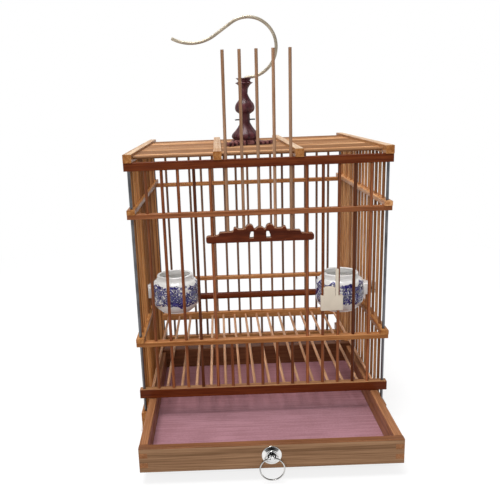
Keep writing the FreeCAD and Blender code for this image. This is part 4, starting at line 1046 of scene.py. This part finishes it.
@dataclass
class RoofCrown:
    """Finial, claw and hook."""

    wood: Tones = ((0.150, 0.043, 0.050), (0.040, 0.010, 0.013))
    # Leaf faces take a lit tone and vein faces a much darker one: painted highlight on the leaves
    # and painted shade in the carved veins.
    leaf: Tones = ((0.330, 0.140, 0.130), (0.120, 0.036, 0.034))
    vein: Tones = ((0.060, 0.016, 0.018), (0.024, 0.006, 0.007))
    brass: Tones = ((0.56, 0.485, 0.370), (0.36, 0.30, 0.22))
    leaf_fibre: Point = (1.1, 8.0)
    axis: Place = (-6.5, 0.0, 299.45)
    height: float = 67.0
    leaves: int = 3
    leaf_turn: float = -9.0
    hub: float = 14.0
    carving_step: float = 0.55
    vein_pitch: float = 7.0
    vein_share: float = 0.45
    vein_depth: float = 1.3
    vein_floor: float = 2.4
    columns: int = 100
    arc: int = 8
    core: float = 3.0
    smooth: float = 60.0
    lobes: int = 10
    lobe_shares: tuple[Point, ...] = ((0.01, 0.22), (0.445, 0.68))
    lobe_cuts: tuple[float, ...] = (0.965, 0.985)
    petals: int = 5
    petal_shares: Point = (0.90, 1.03)
    petal_cuts: tuple[float, ...] = (0.76, 0.82, 0.90, 0.96)
    profile: tuple[Turn, ...] = (
        (0.0, 0.0, 0.0), (13.4, 0.0, 0.25), (16.2, 0.054, 0.15), (14.6, 0.105, -0.09),
        (5.7, 0.285, 0.0), (5.7, 0.425, 0.0), (8.9, 0.455, 0.25), (11.4, 0.525, 0.15),
        (9.6, 0.610, -0.10), (3.7, 0.765, 0.0), (4.2, 0.840, -0.20), (10.2, 0.938, 0.0),
        (9.6, 0.948, -0.30), (6.9, 0.972, -0.30), (9.6, 1.014, 0.0), (9.0, 1.022, 0.20),
        (6.2, 1.005, -0.25), (3.6, 0.95, 0.0), (1.9, 0.95, 0.0), (1.9, 0.70, 0.0),
        (0.0, 0.70, 0.0),
    )

    def dress_all(self) -> None:
        """Carve the finial and its claw, and dress the hook."""
        self.carve_finial()
        self.carve_claw()
        brass = MetalFinish("aged_brass", self.brass, roughness=0.34, swing=0.05, metallic=0.45)
        dress(brass, "hook")

    def carve_claw(self) -> None:
        """Cut side veins into the claw's three leaves."""
        claw = Bench.copy_of("finial_claw", "carved_claw")
        Bench.remesh(claw, self.carving_step, easing=1)
        bottom = min(vertex.co.z for vertex in claw.data.vertices) + self.vein_floor * MM
        Bench.pick(claw, lambda place: place.z > bottom and self.in_vein(place))
        bpy.ops.transform.translate(value=(0.0, 0.0, -self.vein_depth * MM))
        bpy.ops.object.mode_set(mode="OBJECT")
        leaf = WoodFinish(
            "leaf_rosewood", self.leaf, ALONG_X, self.leaf_fibre,
            roughness=0.36, coat=0.05, specular=0.2,
        )
        vein = WoodFinish("vein_rosewood", self.vein, ALONG_X, self.leaf_fibre)
        claw.data.materials.append(leaf.make())
        claw.data.materials.append(vein.make())
        # Painted shade: faces in the carved veins take the dark vein tones.
        for face in claw.data.polygons:
            face.material_index = int(self.in_vein(face.center))
        Bench.hand_over(claw, "finial_claw", "cage", "rosewood")

    def in_vein(self, place: Vector) -> bool:
        """Say whether a place on the leaves lies in a side vein.

        Args:
            place: The place in metres.

        Returns:
            Whether it does.
        """
        out = place - Vector(self.axis) * MM
        turn = math.atan2(out.y, out.x) - math.radians(self.leaf_turn)
        step = 2.0 * math.pi / self.leaves
        off = turn - step * round(turn / step)
        reach = out.xy.length / MM
        along, across = reach * math.cos(off), abs(reach * math.sin(off))
        return reach > self.hub and ((along - across) / self.vein_pitch) % 1.0 < self.vein_share

    def carve_finial(self) -> None:
        """Turn the finial, cut lobes into its two bulbs and petals into its crown."""
        turned = [(radius, share * self.height, bulge) for radius, share, bulge in self.profile]
        points = curve(turned, self.arc)
        piece = Bench.lathe("carved_finial", points, self.axis, UP, self.columns)
        for shares in self.lobe_shares:
            self.pinch(piece, self.lobes, shares, self.lobe_cuts)
        self.pinch(piece, self.petals, self.petal_shares, self.petal_cuts)
        wood = WoodFinish(
            "rosewood_upright", self.wood, ALONG_Z, (0.7, 14.0),
            roughness=0.38, coat=0.06, specular=0.35,
        )
        piece.data.materials.append(wood.make())
        Bench.hand_over(piece, "finial", "cage", "rosewood", self.smooth)

    def pinch(self, piece: Piece, count: int, shares: Point, cuts: Sequence[float]) -> None:
        """Draw evenly spaced columns of the turned body in towards its axis.

        Args:
            piece: The turned body.
            count: Grooves round the axis.
            shares: The grooves' lower and upper end in finial heights.
            cuts: How far each column from a groove's middle outwards is drawn in.
        """
        foot = Vector(self.axis) * MM
        low, high = (foot.z + share * self.height * MM for share in shares)
        for offset, scale in enumerate(cuts):
            Bench.pick(
                piece,
                lambda place: low <= place.z <= high and self.off_groove(place, count) == offset,
            )
            bpy.ops.transform.resize(value=(scale, scale, 1.0), center_override=foot)
            bpy.ops.object.mode_set(mode="OBJECT")

    def off_groove(self, place: Vector, count: int) -> int:
        """Count the columns from a place on the turned body to the nearest groove.

        Args:
            place: The place in metres.
            count: Grooves round the axis.

        Returns:
            The number of columns, or minus one near the axis.
        """
        out = (place - Vector(self.axis) * MM).xy
        if out.length <= self.core * MM:
            return -1
        every = self.columns // count
        column = round(math.atan2(out.y, out.x) / (2.0 * math.pi) * self.columns) % every
        return min(column, every - column)


@dataclass(frozen=True)
class Lamp:
    """A soft square lamp that faces the cage, in metres and watts."""

    name: str
    place: Place
    size: float
    power: float
    mirrored: bool
    aim: Place = (0.0, -0.05, 0.17)

    def hang(self) -> None:
        """Hang the lamp, and keep it out of reflections where it isn't mirrored."""
        data = bpy.data.lights.new(self.name, "AREA")
        data.size = self.size
        data.energy = self.power
        lamp = bpy.data.objects.new(self.name, data)
        lamp.location = self.place
        lamp.visible_glossy = self.mirrored
        way = Vector(self.aim) - Vector(self.place)
        lamp.rotation_euler = way.to_track_quat("-Z", "Y").to_euler()
        bpy.context.scene.collection.objects.link(lamp)


@dataclass
class Studio:
    """Floor, lights and the camera at the photograph's place."""

    camera_place: Place = (-39.219, -766.752, 341.499)
    camera_turn: Turn = (74.98939, 2.05341, -0.55719)
    focal_share: float = 643.083 / 500.0
    shift: Point = (0.054654, 0.050322)
    sensor: float = 36.0
    clip_start: float = 0.01
    key: Lamp = Lamp("key", (-0.25, -0.15, 1.85), size=0.9, power=27.0, mirrored=True)
    fill: Lamp = Lamp("fill", (-0.35, -1.9, 0.85), size=1.2, power=19.0, mirrored=False)
    ambient: float = 0.36
    room_depth: Point = (-0.25, 0.45)
    room_gain: float = 0.55
    room_base: float = -0.15
    room_rise: Point = (0.0, 0.5)
    room_dim: float = -0.25
    floor_half: float = 6.0
    floor_colour: Colour = (0.26, 0.26, 0.26)
    floor_lift: float = 0.79
    fade: Point = (0.35, 0.90)
    # Painted shade under the cage: the floor's colour and glow drop to a share there, and the glow
    # is warmed by a tint.
    under: Point = (0.128, 0.136)
    under_share: float = 0.12
    under_shade_tint: Colour = (1.0, 0.50, 0.38)

    def build(self) -> None:
        """Set the camera, the lights, the world and the floor."""
        self.set_camera()
        self.set_world()
        self.key.hang()
        self.fill.hang()
        self.set_floor()

    def set_camera(self) -> None:
        """Put the camera where the photograph was taken from."""
        data = bpy.data.cameras.new("view")
        data.sensor_width = self.sensor
        data.lens = self.focal_share * self.sensor
        data.shift_x, data.shift_y = self.shift
        data.clip_start = self.clip_start
        camera = bpy.data.objects.new("view", data)
        camera.location = Vector(self.camera_place) * MM
        camera.rotation_euler = [math.radians(angle) for angle in self.camera_turn]
        bpy.context.scene.collection.objects.link(camera)
        bpy.context.scene.camera = camera
        bpy.context.scene.view_settings.view_transform = "Standard"

    def set_world(self) -> None:
        """Light all round softly, white to the camera and a dimming room in reflections."""
        world = bpy.data.worlds.new("studio")
        world.use_nodes = True
        wiring = Wiring(world.node_tree)
        rays = wiring.add("LightPath").outputs
        way = wiring.split(wiring.add("TexCoord").outputs["Generated"])
        depth, rise = wiring.ramp(way[1], *self.room_depth), wiring.ramp(way[2], *self.room_rise)
        room = wiring.times(depth, self.room_gain, self.room_base)
        room = wiring.times(rise, self.room_dim, room)
        shine = wiring.times(rays["Is Glossy Ray"], room, self.ambient)
        seen = wiring.sum("MAXIMUM", rays["Is Camera Ray"], rays["Is Transmission Ray"])
        strength = wiring.sum("MAXIMUM", seen, shine)
        sky = world.node_tree.nodes["Background"]
        wiring.fill(sky, {"Color": (*WHITE, 1.0), "Strength": strength})
        bpy.context.scene.world = world

    def set_floor(self) -> None:
        """Lay a pale floor that fades to white and keeps the cage's shadow, with painted warm
        shade under the cage.
        """
        bpy.ops.mesh.primitive_plane_add(size=2.0 * self.floor_half, location=(0.0, 0.0, 0.0))
        floor = bpy.context.active_object
        floor.name = "studio_floor"
        surface = Surface("studio_floor")
        place = surface.place
        away = surface.add("VectorMath", {0: place}, operation="LENGTH").outputs["Value"]
        far = surface.ramp(away, *self.fade)
        x, y, _ = surface.split(surface.vector("ABSOLUTE", place))
        # Painted shade: this mask is nought under the cage's footprint and one outside it.
        under = surface.ramp(surface.sum("MAXIMUM", x, y), *self.under)
        cloud = surface.noise(place, scale=3.0, detail=2.0)
        colour = surface.mix(cloud, self.floor_colour, shaded(self.floor_colour, share=0.99))
        colour = surface.mix(under, shaded(self.floor_colour, self.under_share), colour)
        rays = surface.add("LightPath").outputs
        seen = surface.sum("MAXIMUM", rays["Is Camera Ray"], rays["Is Glossy Ray"])
        seen = surface.sum("MAXIMUM", seen, rays["Is Transmission Ray"])
        shade = self.under_share * self.floor_lift
        near = surface.times(under, self.floor_lift - shade, shade)
        lift = surface.times(far, 1.0 - self.floor_lift, near)
        surface.feed({
            "Base Color": surface.mix(far, colour, BLACK),
            "Roughness": 0.9,
            "Specular IOR Level": 0.0,
            "Emission Color": surface.mix(under, self.under_shade_tint, WHITE),
            "Emission Strength": surface.times(seen, lift),
        })
        floor.data.materials.append(surface.material)


def main() -> None:
    """Build and dress each sub-assembly in order."""
    logging.basicConfig(level=logging.INFO, format="%(name)s: %(message)s")
    for unit in (CageFrame(), DoorLeaf(), DrawerUnit(), Fittings(), RoofCrown()):
        unit.dress_all()
        LOG.info("finished %s", type(unit).__name__)
    Studio().build()


if __name__ == "__main__":
    main()
